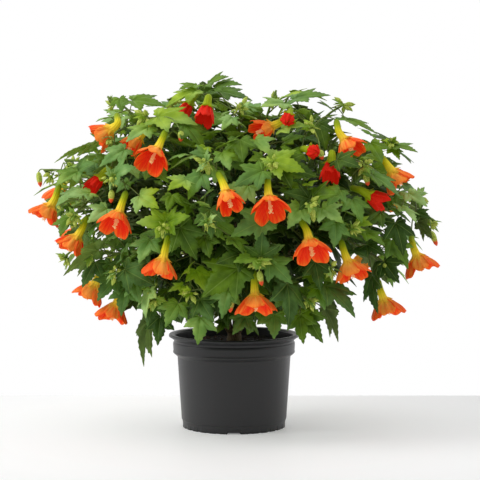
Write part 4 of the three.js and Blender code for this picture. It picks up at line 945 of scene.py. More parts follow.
def slab_bands(upper, lower, material, uv, tone):
    """Slabs as one band with a sharp border: uv (rows, columns, 2) is shared by all, tone is one per slab."""
    count, rows, columns, _ = upper.shape
    points, sheets, border = slabs(upper, lower)
    uv = np.broadcast_to(uv, (count, 2, rows, columns, 2)).reshape(-1, 2)
    back = np.broadcast_to(np.array([0.0, 1.0])[:, None, None], (count, 2, rows, columns)).ravel()
    tones = spread(tone, 2 * rows * columns)
    return band(points, [sheets, border], material, uv, tones, back, [False, True])


def build(name, bands, slot, *nodes):
    """One object of several bands, riding on the root and standing for the named CAD nodes."""
    materials = list(dict.fromkeys(item["material"] for item in bands))
    loops, totals, finish, smooth, start = [], [], [], [], 0
    for item in bands:
        for faces, flat in zip(item["faces"], item["flat"]):
            loops.append((faces + start).ravel())
            totals.append(np.full(len(faces), faces.shape[1]))
            finish.append(np.full(len(faces), materials.index(item["material"])))
            smooth.append(np.full(len(faces), not flat))
        start += len(item["points"])
    loops, totals = np.concatenate(loops), np.concatenate(totals)
    joined = lambda key: np.concatenate([item[key] for item in bands])
    mesh = bpy.data.meshes.new(name)
    mesh.vertices.add(start)
    mesh.vertices.foreach_set("co", (joined("points") * MM).astype(np.float32).ravel())
    mesh.loops.add(len(loops))
    mesh.loops.foreach_set("vertex_index", loops.astype(np.int32))
    mesh.polygons.add(len(totals))
    mesh.polygons.foreach_set("loop_start", (np.cumsum(totals) - totals).astype(np.int32))
    mesh.polygons.foreach_set("material_index", np.concatenate(finish).astype(np.int32))
    mesh.polygons.foreach_set("use_smooth", np.concatenate(smooth))
    layer = mesh.uv_layers.new(name="surface")
    layer.data.foreach_set("uv", joined("uv")[loops].astype(np.float32).ravel())
    for key in ("tone", "back"):
        values = mesh.attributes.new(key, "FLOAT", "POINT").data
        values.foreach_set("value", joined(key).astype(np.float32))
    for material in materials:
        mesh.materials.append(material)
    mesh.update(calc_edges=True)
    mesh.validate()
    piece = bpy.data.objects.new(name, mesh)
    bpy.context.scene.collection.objects.link(piece)
    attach(piece, "root")
    if nodes:
        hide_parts(*nodes)
    return piece


print("builder ready")

# %% [markdown]
# ## Writing shader sums as Python sums
# A finish is a sum of patterns. The small class below wraps a socket, so that a - b adds a Math node.

# %% Signals and the bench
class Signal:
    """An output socket that can be added, multiplied and compared."""

    def __init__(self, bench, socket):
        self.bench, self.socket = bench, socket

    def __add__(self, other):
        return self.bench.sum("ADD", self, other)

    def __radd__(self, other):
        return self.bench.sum("ADD", other, self)

    def __sub__(self, other):
        return self.bench.sum("SUBTRACT", self, other)

    def __rsub__(self, other):
        return self.bench.sum("SUBTRACT", other, self)

    def __mul__(self, other):
        return self.bench.sum("MULTIPLY", self, other)

    def __rmul__(self, other):
        return self.bench.sum("MULTIPLY", other, self)

    def __truediv__(self, other):
        return self.bench.sum("DIVIDE", self, other)

    def __lt__(self, other):
        return self.bench.sum("LESS_THAN", self, other)

    def __abs__(self):
        return self.bench.sum("ABSOLUTE", self)


class Bench:
    """A material, or the world, and the nodes that it is made of."""

    def __init__(self, owner):
        self.owner = owner
        owner.use_nodes = True
        self.tree = owner.node_tree
        self.tree.nodes.clear()

    def node(self, kind, settings=None, values=None, pick=0):
        """Adds a node: settings first, then values or links of its sockets. Gives its picked output."""
        made = self.tree.nodes.new(kind)
        for key, value in (settings or {}).items():
            if key == "stops":
                ramp = made.color_ramp.elements
                while len(ramp) < len(value):
                    ramp.new(0.5)
                for stop, (place, colour) in zip(ramp, value):
                    stop.position, stop.color = place, colour
            else:
                setattr(made, key, value)
        for key, value in (values or {}).items():
            if isinstance(value, Signal):
                self.tree.links.new(value.socket, made.inputs[key])
            else:
                made.inputs[key].default_value = value
        return Signal(self, made.outputs[pick]) if made.outputs else made

    def sum(self, operation, *terms):
        """A Math node."""
        return self.node("ShaderNodeMath", dict(operation=operation), dict(enumerate(terms)))

    def hold(self, value):
        """Keeps a value between 0 and 1."""
        return self.node("ShaderNodeClamp", None, {"Value": value})

    def mix(self, share, a, b):
        """Colour a where share is 0, colour b where it is 1."""
        return self.node("ShaderNodeMix", dict(data_type="RGBA"), {0: share, 6: a, 7: b}, 2)

    def value(self, name):
        """An attribute of the piece."""
        return self.node("ShaderNodeAttribute", dict(attribute_name=name), None, 2)

    def place(self):
        """Object coordinates."""
        return self.node("ShaderNodeTexCoord", None, None, 3)

    def vector(self, x, y, z):
        """Three values as one vector."""
        return self.node("ShaderNodeCombineXYZ", None, {0: x, 1: y, 2: z})

    def part(self, vector, pick):
        """One of a vector's three values."""
        return self.node("ShaderNodeSeparateXYZ", None, {0: vector}, pick)

    def surface(self):
        """The two coordinates along the piece's own surface."""
        flat = self.node("ShaderNodeUVMap", dict(uv_map="surface"))
        return self.part(flat, 0), self.part(flat, 1)

    def noise(self, scale, detail=3, where=None, rough=0.5):
        """Cloudy noise, cells per metre."""
        values = {"Scale": scale, "Detail": detail, "Roughness": rough, "Vector": where or self.place()}
        return self.node("ShaderNodeTexNoise", None, values)

    def ramp(self, share, *stops):
        """Colours along a share. A stop is a place and a screen colour."""
        stops = [(place, paint(*colour)) for place, *colour in stops]
        return self.node("ShaderNodeValToRGB", dict(stops=stops), {0: share})

    def finish(self, colour, roughness, height, depth, glow=None, gloss=0.5):
        """Closes the material: a principled surface with a bump. glow is a colour and a strength, which
        stands for light that comes through or bounces."""
        bump = {"Strength": 0.6, "Distance": depth, "Height": height}
        values = {"Base Color": colour, "Roughness": roughness, "Specular IOR Level": gloss}
        values["Normal"] = self.node("ShaderNodeBump", None, bump)
        if glow:
            values["Emission Color"], values["Emission Strength"] = glow
        shader = self.node("ShaderNodeBsdfPrincipled", None, values)
        self.node("ShaderNodeOutputMaterial", None, {"Surface": shader})
        return self.owner


def bench_for(name):
    """A bench with a new material."""
    return Bench(bpy.data.materials.new(name))


def paint(red, green, blue):
    """A screen colour, 0 to 255, as the light values that shaders use."""
    c = np.array([red, green, blue]) / 255
    c = np.where(c <= 0.04045, c / 12.92, ((c + 0.055) / 1.055) ** 2.4)
    return (*c.tolist(), 1.0)


BLACK, WHITE = (0, 0, 0, 1), (1, 1, 1, 1)
print("bench ready")

# %% [markdown]
# ## Leaf finish
# Three main veins fan out from the foot on each half of a leaf, and fine side veins leave them. The blade's
# own surface coordinates hold its flat outline, so the veins are distances from straight lines in that
# outline.

# %% Leaf
VEIN_ANGLES = [0, 46, 107]
VEIN_WIDTH, VEIN_TAPER, SIDE_VEINS, OFF_SIDE = 0.021, 0.013, 9, 9
UV_FOOT, UV_SCALE = (0.2, 0.5), 0.7


def vein(bench, p, q, degrees):
    """A main vein at an angle to the midrib: the distance from it, its line, and the side veins that leave
    it. Points behind its foot count as far off."""
    c, s = math.cos(math.radians(degrees)), math.sin(math.radians(degrees))
    run = p * c + q * s
    off = abs(q * c - p * s) + OFF_SIDE * (run < 0)
    line = bench.hold(1 - off / (VEIN_WIDTH - VEIN_TAPER * run))
    wave = bench.sum("FRACT", (run - off * 0.9) * SIDE_VEINS)
    fine = bench.hold(1 - abs(wave - 0.5) * 9) * bench.hold(off * 12)
    return off, line, fine


def vein_signals(bench):
    """The lines of all main veins, and at each point the side veins of the nearest one."""
    across_u, across_v = bench.surface()
    p = (across_u - UV_FOOT[0]) / UV_SCALE
    q = abs(across_v - UV_FOOT[1]) / UV_SCALE
    least, veins, chevrons = vein(bench, p, q, VEIN_ANGLES[0])
    for degrees in VEIN_ANGLES[1:]:
        off, line, fine = vein(bench, p, q, degrees)
        chevrons = chevrons + (fine - chevrons) * (off < least)
        least = bench.sum("MINIMUM", least, off)
        veins = bench.sum("MAXIMUM", veins, line)
    return veins, chevrons


def leaf_finish():
    """Dark green where tone is 0 and light where it is 1, in clouds; the tone holds painted light and shade.
    Most leaves are a dull sage green, and patches of the plant a grassy one, more of them high up. The
    underside is paler, the veins are light, and light blades get a painted glow for sun that comes through."""
    bench = bench_for("leaf")
    veins, chevrons = vein_signals(bench)
    tone, back = bench.value("tone"), bench.value("back")
    cloud, patch, cells = bench.noise(55, 2), bench.noise(9, 1), bench.noise(900, 1)
    # The tone holds painted light and shade, so the green follows it.
    share = bench.hold(tone + (cloud - 0.5) * 0.45)
    grassy = bench.ramp(share, (0, 22, 38, 0), (0.4, 52, 80, 4), (0.75, 96, 128, 18), (1, 158, 180, 50))
    sage = bench.ramp(share, (0, 22, 40, 2), (0.4, 50, 82, 18), (0.75, 98, 138, 72), (1, 166, 194, 130))
    high = bench.part(bench.place(), 2)
    green = bench.mix(bench.hold((patch - 0.5) * 5 + 1 - high), grassy, sage)
    both = bench.mix(back, green, bench.mix(0.5, green, paint(122, 140, 74)))
    lined = bench.mix(bench.hold(veins * 0.5 + chevrons * 0.1), both, paint(140, 168, 80))
    height = veins * -0.8 - chevrons * 0.3 + cells * 0.25 + cloud * 0.8
    rough = 0.5 + cloud * 0.14 + back * 0.12
    # Painted glow: light blades glow yellow green as if sun came through them.
    through = bench.mix(bench.hold(share * 2 - 1), BLACK, paint(120, 160, 10))
    return bench.finish(lined, rough, height, 0.0006, (through, 0.24), 0.2)


LEAF = leaf_finish()
print(LEAF.name)

# %% Stem, calyx, bud
CALYX_RIBS, BUD_RIBS = 10, 5


def stem_finish():
    """Brown where tone is 0, green where it is 1."""
    bench = bench_for("green_stem")
    tone = bench.value("tone")
    streak = bench.noise(420, 3)
    share = bench.hold(tone + (streak - 0.5) * 0.5)
    colour = bench.ramp(share, (0, 92, 74, 46), (0.4, 96, 100, 44), (1, 112, 138, 50))
    return bench.finish(colour, 0.55, streak, 0.0003)


def calyx_finish():
    """Green at the stalk, yellow and then orange at the petals, with ten fine ribs. Where tone is 0 it
    stays green for longer."""
    bench = bench_for("calyx")
    around, share = bench.surface()
    soft = bench.noise(260, 2)
    ripe = bench.value("tone") * 1.2 + 0.4
    colour = bench.ramp(bench.hold(share * ripe + (soft - 0.5) * 0.1), (0, 92, 128, 12), (0.36, 152, 170, 14),
                        (0.62, 224, 210, 28), (0.85, 255, 218, 56), (1, 255, 182, 56))
    ribs = bench.sum("SINE", around * (2 * math.pi * CALYX_RIBS))
    shaded = bench.mix(bench.hold(0.1 - ribs * 0.1), colour, paint(120, 132, 20))
    # A faint painted glow of its own colour lightens the calyx as if lit.
    return bench.finish(shaded, 0.6, soft, 0.0003, (shaded, 0.06), 0.16)


def bud_finish():
    """Pale green, with orange petals at the tip where tone is high."""
    bench = bench_for("bud")
    around, share = bench.surface()
    tone = bench.value("tone")
    soft = bench.noise(500, 2)
    colour = bench.mix(bench.hold(soft * 2 - 0.5), paint(128, 158, 34), paint(208, 216, 108))
    ripe = bench.hold((tone - 0.5) * 4)
    tipped = bench.mix(bench.hold((share - 0.6) * 7) * ripe, colour, paint(232, 84, 40))
    ribs = bench.sum("SINE", around * (2 * math.pi * BUD_RIBS))
    # A faint painted glow of its own colour lightens the bud as if lit.
    return bench.finish(tipped, 0.55, ribs * 0.6 + soft * 0.4, 0.0004, (tipped, 0.08), 0.24)


STEM, CALYX, BUD = stem_finish(), calyx_finish(), bud_finish()
print(STEM.name, CALYX.name, BUD.name)

# %% Petal and column
def petal_finish():
    """Outside: light orange where tone is high, orange red where it is low, dark red where it is 0, and
    yellow at the root; the tone is partly painted light. Inside: deep red with an orange rim. Uneven streaks
    and thin veins run from the root to the rim. A painted glow of the petal's own colour stands for light
    that comes through."""
    bench = bench_for("petal")
    around, share = bench.surface()
    back, tone = bench.value("back"), bench.value("tone")
    streak = bench.noise(1, 2, bench.vector(around * 9, share * 1.1, tone * 30 + back * 7))
    lines = bench.noise(1, 1, bench.vector(around * 34, share * 1.6, tone * 50))
    thin = bench.hold(abs(lines - 0.5) * -14 + 1)
    lit = bench.hold(tone + (streak - 0.5) * 2.6)
    deep = bench.ramp(share, (0, 255, 200, 30), (0.18, 255, 168, 20), (0.36, 246, 66, 8), (1, 238, 50, 4))
    pale = bench.ramp(share, (0, 255, 214, 50), (0.2, 255, 200, 60), (0.5, 255, 170, 72), (1, 255, 138, 46))
    outer = bench.mix(lit, deep, pale)
    inner = bench.ramp(bench.hold(share + (streak - 0.5) * 0.9), (0, 214, 60, 4), (0.3, 222, 26, 2),
                       (0.7, 236, 40, 6), (0.88, 246, 70, 12), (1, 255, 112, 30))
    base = bench.mix(bench.hold(1 - tone * 12), bench.mix(back, outer, inner), paint(222, 34, 12))
    line_colour = bench.mix(bench.hold(lit + back * -0.2), paint(255, 116, 44), paint(210, 40, 8))
    veined = bench.mix(thin * bench.hold(tone * 12) * 0.4, base, line_colour)
    # A painted glow of the petal's own colour stands for light that comes through.
    return bench.finish(veined, 0.6, streak + thin * -0.3, 0.0012, (veined, 0.14), 0.16)


def column_finish():
    """Cream with warmer grains."""
    bench = bench_for("column")
    grain = bench.noise(900, 2)
    colour = bench.mix(bench.hold(grain * 2 - 0.5), paint(250, 168, 76), paint(255, 232, 176))
    # A painted glow of its own colour lightens the column as if lit.
    return bench.finish(colour, 0.6, grain, 0.0003, (colour, 0.12))


PETAL, COLUMN = petal_finish(), column_finish()
print(PETAL.name, COLUMN.name)

# %% [markdown]
# ## Leaf blades
# A leaf has five pointed lobes with coarse teeth. Its outline is one half, mirrored. Rings of the same
# outline shrink toward the foot, so every ring is a scaled rim. The height of a point bends the flat
# outline into a real leaf.

# %% Outlines
# Half a rim from the foot to the tip, as shares of the length along the midrib and sideways: large, small,
# little and hidden leaves.
HALF_TOOTHED = [
    (-0.08, 0.05), (-0.18, 0.12), (-0.17, 0.20), (-0.24, 0.29), (-0.17, 0.32), (-0.15, 0.41), (-0.07, 0.37),
    (-0.01, 0.40), (0.06, 0.33), (0.13, 0.35), (0.17, 0.43), (0.24, 0.41), (0.30, 0.48), (0.37, 0.46),
    (0.43, 0.52), (0.53, 0.55), (0.49, 0.45), (0.52, 0.39), (0.47, 0.33), (0.48, 0.27), (0.45, 0.215),
    (0.53, 0.235), (0.58, 0.25), (0.63, 0.195), (0.69, 0.205), (0.74, 0.135), (0.81, 0.135), (0.86, 0.07),
    (0.92, 0.06),
]
HALF_SMALL_TOOTHED = [
    (-0.07, 0.05), (-0.16, 0.14), (-0.19, 0.27), (-0.11, 0.30), (-0.10, 0.39), (0.00, 0.36), (0.06, 0.30),
    (0.14, 0.35), (0.19, 0.44), (0.27, 0.43), (0.33, 0.50), (0.48, 0.54), (0.45, 0.41), (0.46, 0.31),
    (0.43, 0.20), (0.52, 0.235), (0.59, 0.20), (0.66, 0.21), (0.72, 0.13), (0.80, 0.135), (0.87, 0.06),
    (0.93, 0.05),
]
HALF_PLAIN = [
    (-0.10, 0.08), (-0.17, 0.25), (-0.12, 0.39), (0.04, 0.31), (0.14, 0.36), (0.27, 0.45), (0.46, 0.53),
    (0.44, 0.34), (0.43, 0.20), (0.59, 0.23), (0.71, 0.14), (0.86, 0.08),
]
HALF_HIDDEN = [
    (-0.12, 0.12), (-0.15, 0.34), (0.05, 0.30), (0.45, 0.52), (0.43, 0.21), (0.62, 0.21), (0.82, 0.09),
]
BLADE_THICK, BULGE, RIPPLE = 0.45, 0.04, 0.016
VEIN_STEPS = [*VEIN_ANGLES, 140]
ANY_TURN = 6.28
STALK_ARCH, STALK_SHARES, STALK_RADII = 0.045, [0, 0.15, 1], [1.3, 1.0, 0.75]


def whole(half):
    """The full outline from the right side of the foot round the tip to the left side."""
    right = [(u, -v) for u, v in half]
    return np.array(right + [(1.0, 0.0)] + half[::-1])


def blade_sheets(group, half, rings, seed):
    """Both sheets of many leaves. With s the ring share, u and v are s times the rim. The height is
    fold |v| - droop (u u + 0.8 v v) + a bulge between the veins + a ripple that grows toward the rim."""
    rng = np.random.default_rng(seed)
    take = lambda key: np.array([leaf[key] for leaf in group])[:, None, None]
    foot, way, side, normal, length, droop = map(take, ("foot", "way", "side", "normal", "length", "droop"))
    skew = take("skew")[:, 0, 0]
    rim = whole(half)
    share = np.linspace(0.02, 1, rings + 1)[:, None]
    u, v = share * rim[:, 0], share * rim[:, 1]
    wide = np.where(v[None] < 0, skew[:, :1, None], skew[:, 1:, None]) * v
    angle = np.degrees(np.abs(np.arctan2(rim[:, 1], rim[:, 0])))
    bulge = np.sin(math.pi * np.interp(angle, VEIN_STEPS, range(len(VEIN_STEPS)))) ** 2
    phase = rng.uniform(0, ANY_TURN, (len(group), 1, 1))
    ripple = np.sin(np.radians(angle) * 5 + phase) * share ** 2
    swell = BULGE * bulge * np.sin(math.pi * share * 0.8) + RIPPLE * ripple
    lift = LEAF_FOLD * np.abs(v) - droop * (u * u + 0.8 * v * v) + swell
    offset = way * u[..., None] + side * wide[..., None] + normal * lift[..., None]
    middle = foot + offset * length[..., None]
    shift = normal * (BLADE_THICK / 2)
    uv = np.stack([UV_FOOT[0] + UV_SCALE * u, UV_FOOT[1] + UV_SCALE * v], -1)
    return middle + shift, middle - shift, uv


def leaf_bands(group, half, rings, seed, tones):
    """Blades and stalks of a group of leaves. A stalk arches up by a parabola, a share of its length high."""
    upper, lower, uv = blade_sheets(group, half, rings, seed)
    blades = slab_bands(upper, lower, LEAF, uv, tones)
    start = np.array([leaf["root"] for leaf in group])[:, None]
    end = np.array([leaf["foot"] - leaf["normal"] * 0.3 for leaf in group])[:, None]
    t = np.linspace(0, 1, 6)[:, None]
    arch = np.linalg.norm(end - start, axis=-1, keepdims=True) * STALK_ARCH
    paths = start + (end - start) * t + UP * (4 * t * (1 - t)) * arch
    radii = np.broadcast_to(np.interp(t[:, 0], STALK_SHARES, STALK_RADII), paths.shape[:2])
    # Stalks take half their leaf's tone, and its painted light and shade with it.
    return [blades, pipe_band(paths, radii, 4, STEM, np.asarray(tones) * 0.5 + 0.35)]


# Darkest and lightest tone, and how much lighter the sunny side is painted, as if lit.
DARKEST, LIGHTEST, SUN = 0.14, 0.88, 0.14
OUTER_FROM, OUTER_RUN, HIGH_FROM, HIGH_RUN, SUNNY_RUN = 0.6, 0.35, 160, 260, 250


def leaf_tones_and_painted_light(group, rng):
    """Painted light and shade in each leaf's tone: lighter toward the outside, the top and the sunny side of
    the dome and where a blade lies flat, as if lit, and darker inside and below and where it hangs, as
    painted shade, with some chance."""
    share = np.array([dome_share(leaf["middle"]) for leaf in group])
    middle, normal = (np.array([leaf[key] for leaf in group]) for key in ("middle", "normal"))
    outer = np.clip((share - OUTER_FROM) / OUTER_RUN, 0, 1)
    high = np.clip((middle[:, 2] - HIGH_FROM) / HIGH_RUN, 0, 1)
    flat = np.clip((normal[:, 2] - 0.3) / 0.6, 0, 1)
    sunny = np.clip(-middle[:, 0] / SUNNY_RUN, -1, 1)
    # Painted light: outer, high and upward-facing blades and the left side, toward the key, get a lighter tone.
    lit = DARKEST + 0.14 * high + outer * (0.14 + 0.2 * flat) + SUN * sunny * outer
    chance = rng.uniform(0.0, 1.0, len(group)) ** 1.5
    return np.minimum(LIGHTEST, lit + chance * (0.12 + 0.48 * outer))


print(len(whole(HALF_TOOTHED)), "rim points on a large leaf")

# %% [markdown]
# ## Shoots, calyx tubes and buds
# Shoots follow the same bent paths as the solids, rounded through their corners, and swell a little where
# stalks leave. Each bloom hangs from a thin arched stalk that widens into a ribbed green tube with pale
# pointed tips.

# %% Rounded paths
def rounded(path, per):
    """A smooth path through all corners: the cubic with half the step between neighbours as its slope."""
    ends = np.vstack([2 * path[0] - path[1], path, 2 * path[-1] - path[-2]])
    slope = (ends[2:] - ends[:-2]) / 2
    t = (np.arange(per) / per)[None, :, None]
    a, b, sa, sb = path[:-1, None], path[1:, None], slope[:-1, None], slope[1:, None]
    run = ((2 * t ** 3 - 3 * t ** 2 + 1) * a + (t ** 3 - 2 * t ** 2 + t) * sa
           + (3 * t ** 2 - 2 * t ** 3) * b + (t ** 3 - t ** 2) * sb)
    return np.vstack([run.reshape(-1, 3), path[-1:]])


def evenly(path, count):
    """The same path with count points at even distances."""
    gone = np.concatenate([[0], np.cumsum(np.linalg.norm(np.diff(path, axis=0), axis=1))])
    want = np.linspace(0, gone[-1], count)
    return np.stack([np.interp(want, gone, path[:, k]) for k in range(3)], -1)


WOODY_SHARE = WOODY_BENDS / MAIN_BENDS
PER_BEND, SHOOT_POINTS, SHOOT_SIDES = 8, 40, 8
KNOTS, KNOT_HEIGHT = 11, 0.35


def shoot_band(path, first, brown):
    """One shoot as a pipe: its radius shrinks from the first one to the tip's, with small swellings where
    leaves stand, and its tone rises from brown to green."""
    t = np.linspace(0, 1, SHOOT_POINTS)
    radii = first + (TIP_RADIUS - first) * t + KNOT_HEIGHT * np.maximum(0, np.sin(t * math.pi * KNOTS)) ** 6
    made = pipe_band(evenly(path, SHOOT_POINTS)[None], radii[None], SHOOT_SIDES, STEM)
    return {**made, "tone": np.clip(brown + made["uv"][:, 1] * (1 - brown), 0, 1)}


def branch_shoots(shoots):
    """The main shoot above its woody part, and the side shoots."""
    main, *sides = [rounded(path, PER_BEND) for path in shoots]
    made = [shoot_band(main[PER_BEND * WOODY_BENDS:], taper(STEM_RADIUS, WOODY_SHARE), 0.25)]
    return made + [shoot_band(path, SIDE_RADIUS, 0.5) for path in sides]

# %% Calyx tubes
TUBE_ROWS, TUBE_SIDES = 14, 40
TUBE_SHARES = [0, 0.06, 0.16, 0.4, 0.6, 0.85, 1]
TUBE_PROFILE = [1.0, 3.0, 4.4, 4.5, 4.8, 5.7, 6.5]
SEPALS, SEPAL_REACH, ROLLED_UNDER, RIB_HEIGHT = 5, 8.5, 11, 0.035
STALK_POINTS, TUBE_BEND = 14, 10
# Numbers of the blooms that are still dark red and narrow, and show no column.
DARK_BELLS = {9, 11, 12, 22, 23, 25, 26}


def tube_band(bloom):
    """A ribbed tube carried along the stalk's last stretch. Its last row is drawn out in five points: their
    height is a zigzag round the mouth."""
    path = rounded(bloom["path"][1:], TUBE_BEND)[TUBE_BEND:]
    points = evenly(path, TUBE_ROWS)
    angle = np.arange(TUBE_SIDES) * 2 * math.pi / TUBE_SIDES
    body = np.interp(np.linspace(0, 1, TUBE_ROWS), TUBE_SHARES, TUBE_PROFILE)
    ribs = 1 + RIB_HEIGHT * np.cos(CALYX_RIBS * angle)
    tone = 0.0 if bloom["dark"] else 0.5
    made = pipe_band(points[None], (body[:, None] * ribs)[None], TUBE_SIDES, CALYX, tone)
    mouth = made["points"][(TUBE_ROWS - 1) * TUBE_SIDES:TUBE_ROWS * TUBE_SIDES]
    zigzag = np.abs(((angle * SEPALS / (2 * math.pi) + 0.5) % 1) - 0.5) * 2
    reach = (1 - zigzag) * SEPAL_REACH
    mouth += bloom["axis"] * reach[:, None] * 0.3 + units(mouth - points[-1]) * (reach * 0.8)[:, None]
    return made


def stalk_band(bloom):
    """The thin stalk of a bloom."""
    path = evenly(rounded(bloom["path"][:3], PER_BEND), STALK_POINTS)
    return pipe_band(path[None], np.full((1, STALK_POINTS), PEDICEL_RADIUS), 6, STEM, 0.75)

# %% [markdown]
# ## Buds
# Every shoot ends in a bunch of pale green buds among narrow bracts and young leaves. A few older buds hang
# on long stalks and already show orange. A bud is a short pipe that swells and closes to a point.

# %% Bunches of buds at the shoot tips
BUD_RADII = np.array([0.35, 0.85, 1.0, 0.82, 0.46, 0.06])
BUD_WIDTH, BUD_STALK = 0.26, 0.6
BRACT_RADII = np.array([0.5, 1.0, 0.85, 0.1])
CLUSTER_BUDS, CLUSTER_BRACTS, CLUSTER_LEAVES, CLUSTER_SET_BACK = 6, 7, 3, 13
FRONT_BUNCH, BUNCH_OUT, BUNCH_STALK, BUNCH_SAG = -110, 9, 34, 7


def between(start, end, count):
    """Straight paths with count points from each start to its end."""
    return start + (end - start) * np.linspace(0, 1, count)[:, None]


def sprays(count, way, low, high, drop, rng):
    """Directions round a shoot's own, bent up or down by drop, and how far along them something stands."""
    ways = units(units(rng.normal(size=(count, 3))) * 0.95 + way * 0.6 + UP * drop)
    return ways, rng.uniform(low, high, (count, 1))


def bunch_place(tip, way):
    """On the viewer's side a bunch stands out in front of the leaves around it, elsewhere a little behind
    the tip and below it."""
    if tip[1] > FRONT_BUNCH:
        return tip - way * CLUSTER_SET_BACK - UP * BUNCH_SAG
    px, py = pixels(tip[None])[0]
    move = spot(px, py, dome_depth(px, py) + BUNCH_OUT) - tip
    return tip + move * min(1.0, BUNCH_STALK / max(1.0, float(np.linalg.norm(move))))


def bud_bands(root, point, way, rng):
    """Small buds on short stalks. A bud's radius is a share of its length times the profile above."""
    ways, reach = sprays(CLUSTER_BUDS, way, 2, 9, -0.2, rng)
    start = (point + ways * reach)[:, None]
    heads = units(ways + UP * rng.uniform(-1.1, 0.5, (CLUSTER_BUDS, 1)))
    length = rng.uniform(7, 13.5, (CLUSTER_BUDS, 1, 1))
    buds = start + heads[:, None] * np.linspace(0, 1, len(BUD_RADII))[:, None] * length
    stalks = np.full((CLUSTER_BUDS, 3), BUD_STALK)
    radii = BUD_RADII * length[:, :, 0] * BUD_WIDTH
    return [pipe_band(buds, radii, 8, BUD, rng.uniform(0, 0.5, CLUSTER_BUDS)),
            pipe_band(between(root, start, 3), stalks, 4, STEM, 0.95)]


def bract_band(point, way, rng):
    """Narrow green bracts that bend down by the square of their length."""
    ways, reach = sprays(CLUSTER_BRACTS, way, 1, 5, 0.0, rng)
    t = np.linspace(0, 1, len(BRACT_RADII))[:, None]
    length = rng.uniform(7, 12, (CLUSTER_BRACTS, 1, 1))
    paths = (point + ways * reach)[:, None] + ways[:, None] * t * length - UP * (t * t) * 2.5
    radii = np.broadcast_to(BRACT_RADII, paths.shape[:2])
    return pipe_band(paths, radii, 5, BUD, rng.uniform(0, 0.5, CLUSTER_BRACTS))


def young_bands(point, way, node, rng):
    """Young leaves, small and light green."""
    ways, reach = sprays(CLUSTER_LEAVES, way, 1, 5, 0.0, rng)
    young = []
    for leaf_way, far in zip(ways, reach):
        foot = point + leaf_way * far
        face = unit(UP * 0.8 + way * 0.5 + outward(foot) * 0.3)
        lean, length, droop = rng.uniform(-30, 30), rng.uniform(12, 18), rng.uniform(0.1, 0.3)
        young.append(make_leaf(node, point, foot, leaf_way, face, lean, length, droop, [0.8, 0.8]))
    seed = int(rng.integers(1000))
    return leaf_bands(young, HALF_PLAIN, 2, seed, rng.uniform(0.75, 1.0, CLUSTER_LEAVES))

# %% Older buds that hang
# Column and row of a bud's foot and tip, and 1 where it already shows orange.
HANGING_BUDS = [
    [39, 172, 41, 187, 1], [232, 297, 230, 313, 1], [259, 271, 262, 286, 1], [431, 231, 437, 246, 1],
    [365, 174, 368, 186, 1], [311, 205, 314, 222, 0], [206, 160, 209, 177, 0], [181, 131, 181, 142, 1],
    [73, 216, 72, 229, 0], [66, 172, 68, 184, 0], [320, 150, 322, 160, 1], [112, 190, 111, 203, 1],
]
HANGING_ROWS, HANGING_SIDES, HANGING_STALK = 12, 20, 10
HANGING_PROFILE = np.interp(np.linspace(0, 1, HANGING_ROWS), [0, 0.08, 0.3, 0.5, 0.62, 0.68, 0.85, 1],
                            [1.0, 3.0, 4.3, 4.2, 3.7, 3.2, 2.9, 0.3])


def hanging_bud(row):
    """Place, tip and ripeness of a bud read from the photograph, and the shoot that carries it."""
    x0, y0, x1, y1, ripe = row
    depth = dome_depth(x0, y0) + 6
    top, tip = spot(x0, y0, depth), spot(x1, y1, depth)
    hook = nearest_place(top, 0)
    return dict(node=hook["node"], root=hook["point"], top=top, tip=tip, ripe=float(ripe))


def hanging_bands(bud):
    """An arched stalk and a bud: a ribbed calyx, and petals that come out of it in a narrower cone."""
    knee = bud["root"] * 0.3 + bud["top"] * 0.7 + UP * (0.16 * math.dist(bud["root"], bud["top"]))
    stalk = evenly(rounded(np.array([bud["root"], knee, bud["top"]]), 6), HANGING_STALK)
    ribs = 1 + 0.06 * np.cos(BUD_RIBS * np.arange(HANGING_SIDES) * 2 * math.pi / HANGING_SIDES)
    path, radii = between(bud["top"], bud["tip"], HANGING_ROWS), HANGING_PROFILE[:, None] * ribs
    return [pipe_band(path[None], radii[None], HANGING_SIDES, BUD, bud["ripe"]),
            pipe_band(stalk[None], np.full((1, HANGING_STALK), 0.85), 5, STEM, 0.9)]


hanging = [hanging_bud(row) for row in HANGING_BUDS]
print(len(hanging), "hanging buds")

# %% Leaves by kind, with the outline and the rings of each
INNER_SHARE = 0.72


def split(group, test):
    """Two lists: those that pass the test, and the others."""
    return [leaf for leaf in group if test(leaf)], [leaf for leaf in group if not test(leaf)]


large, small = split(leaves, lambda leaf: leaf["length"] >= SMALL_LEAF_UNDER)
outer, inner = split(extra, lambda leaf: dome_share(leaf["middle"]) > INNER_SHARE)
kinds = [(large, HALF_TOOTHED, 3), (small, HALF_SMALL_TOOTHED, 3), (outer, HALF_PLAIN, 2),
         (inner, HALF_HIDDEN, 1)]
print([len(kind) for kind, _, _ in kinds], "large, small, outer and inner leaves")

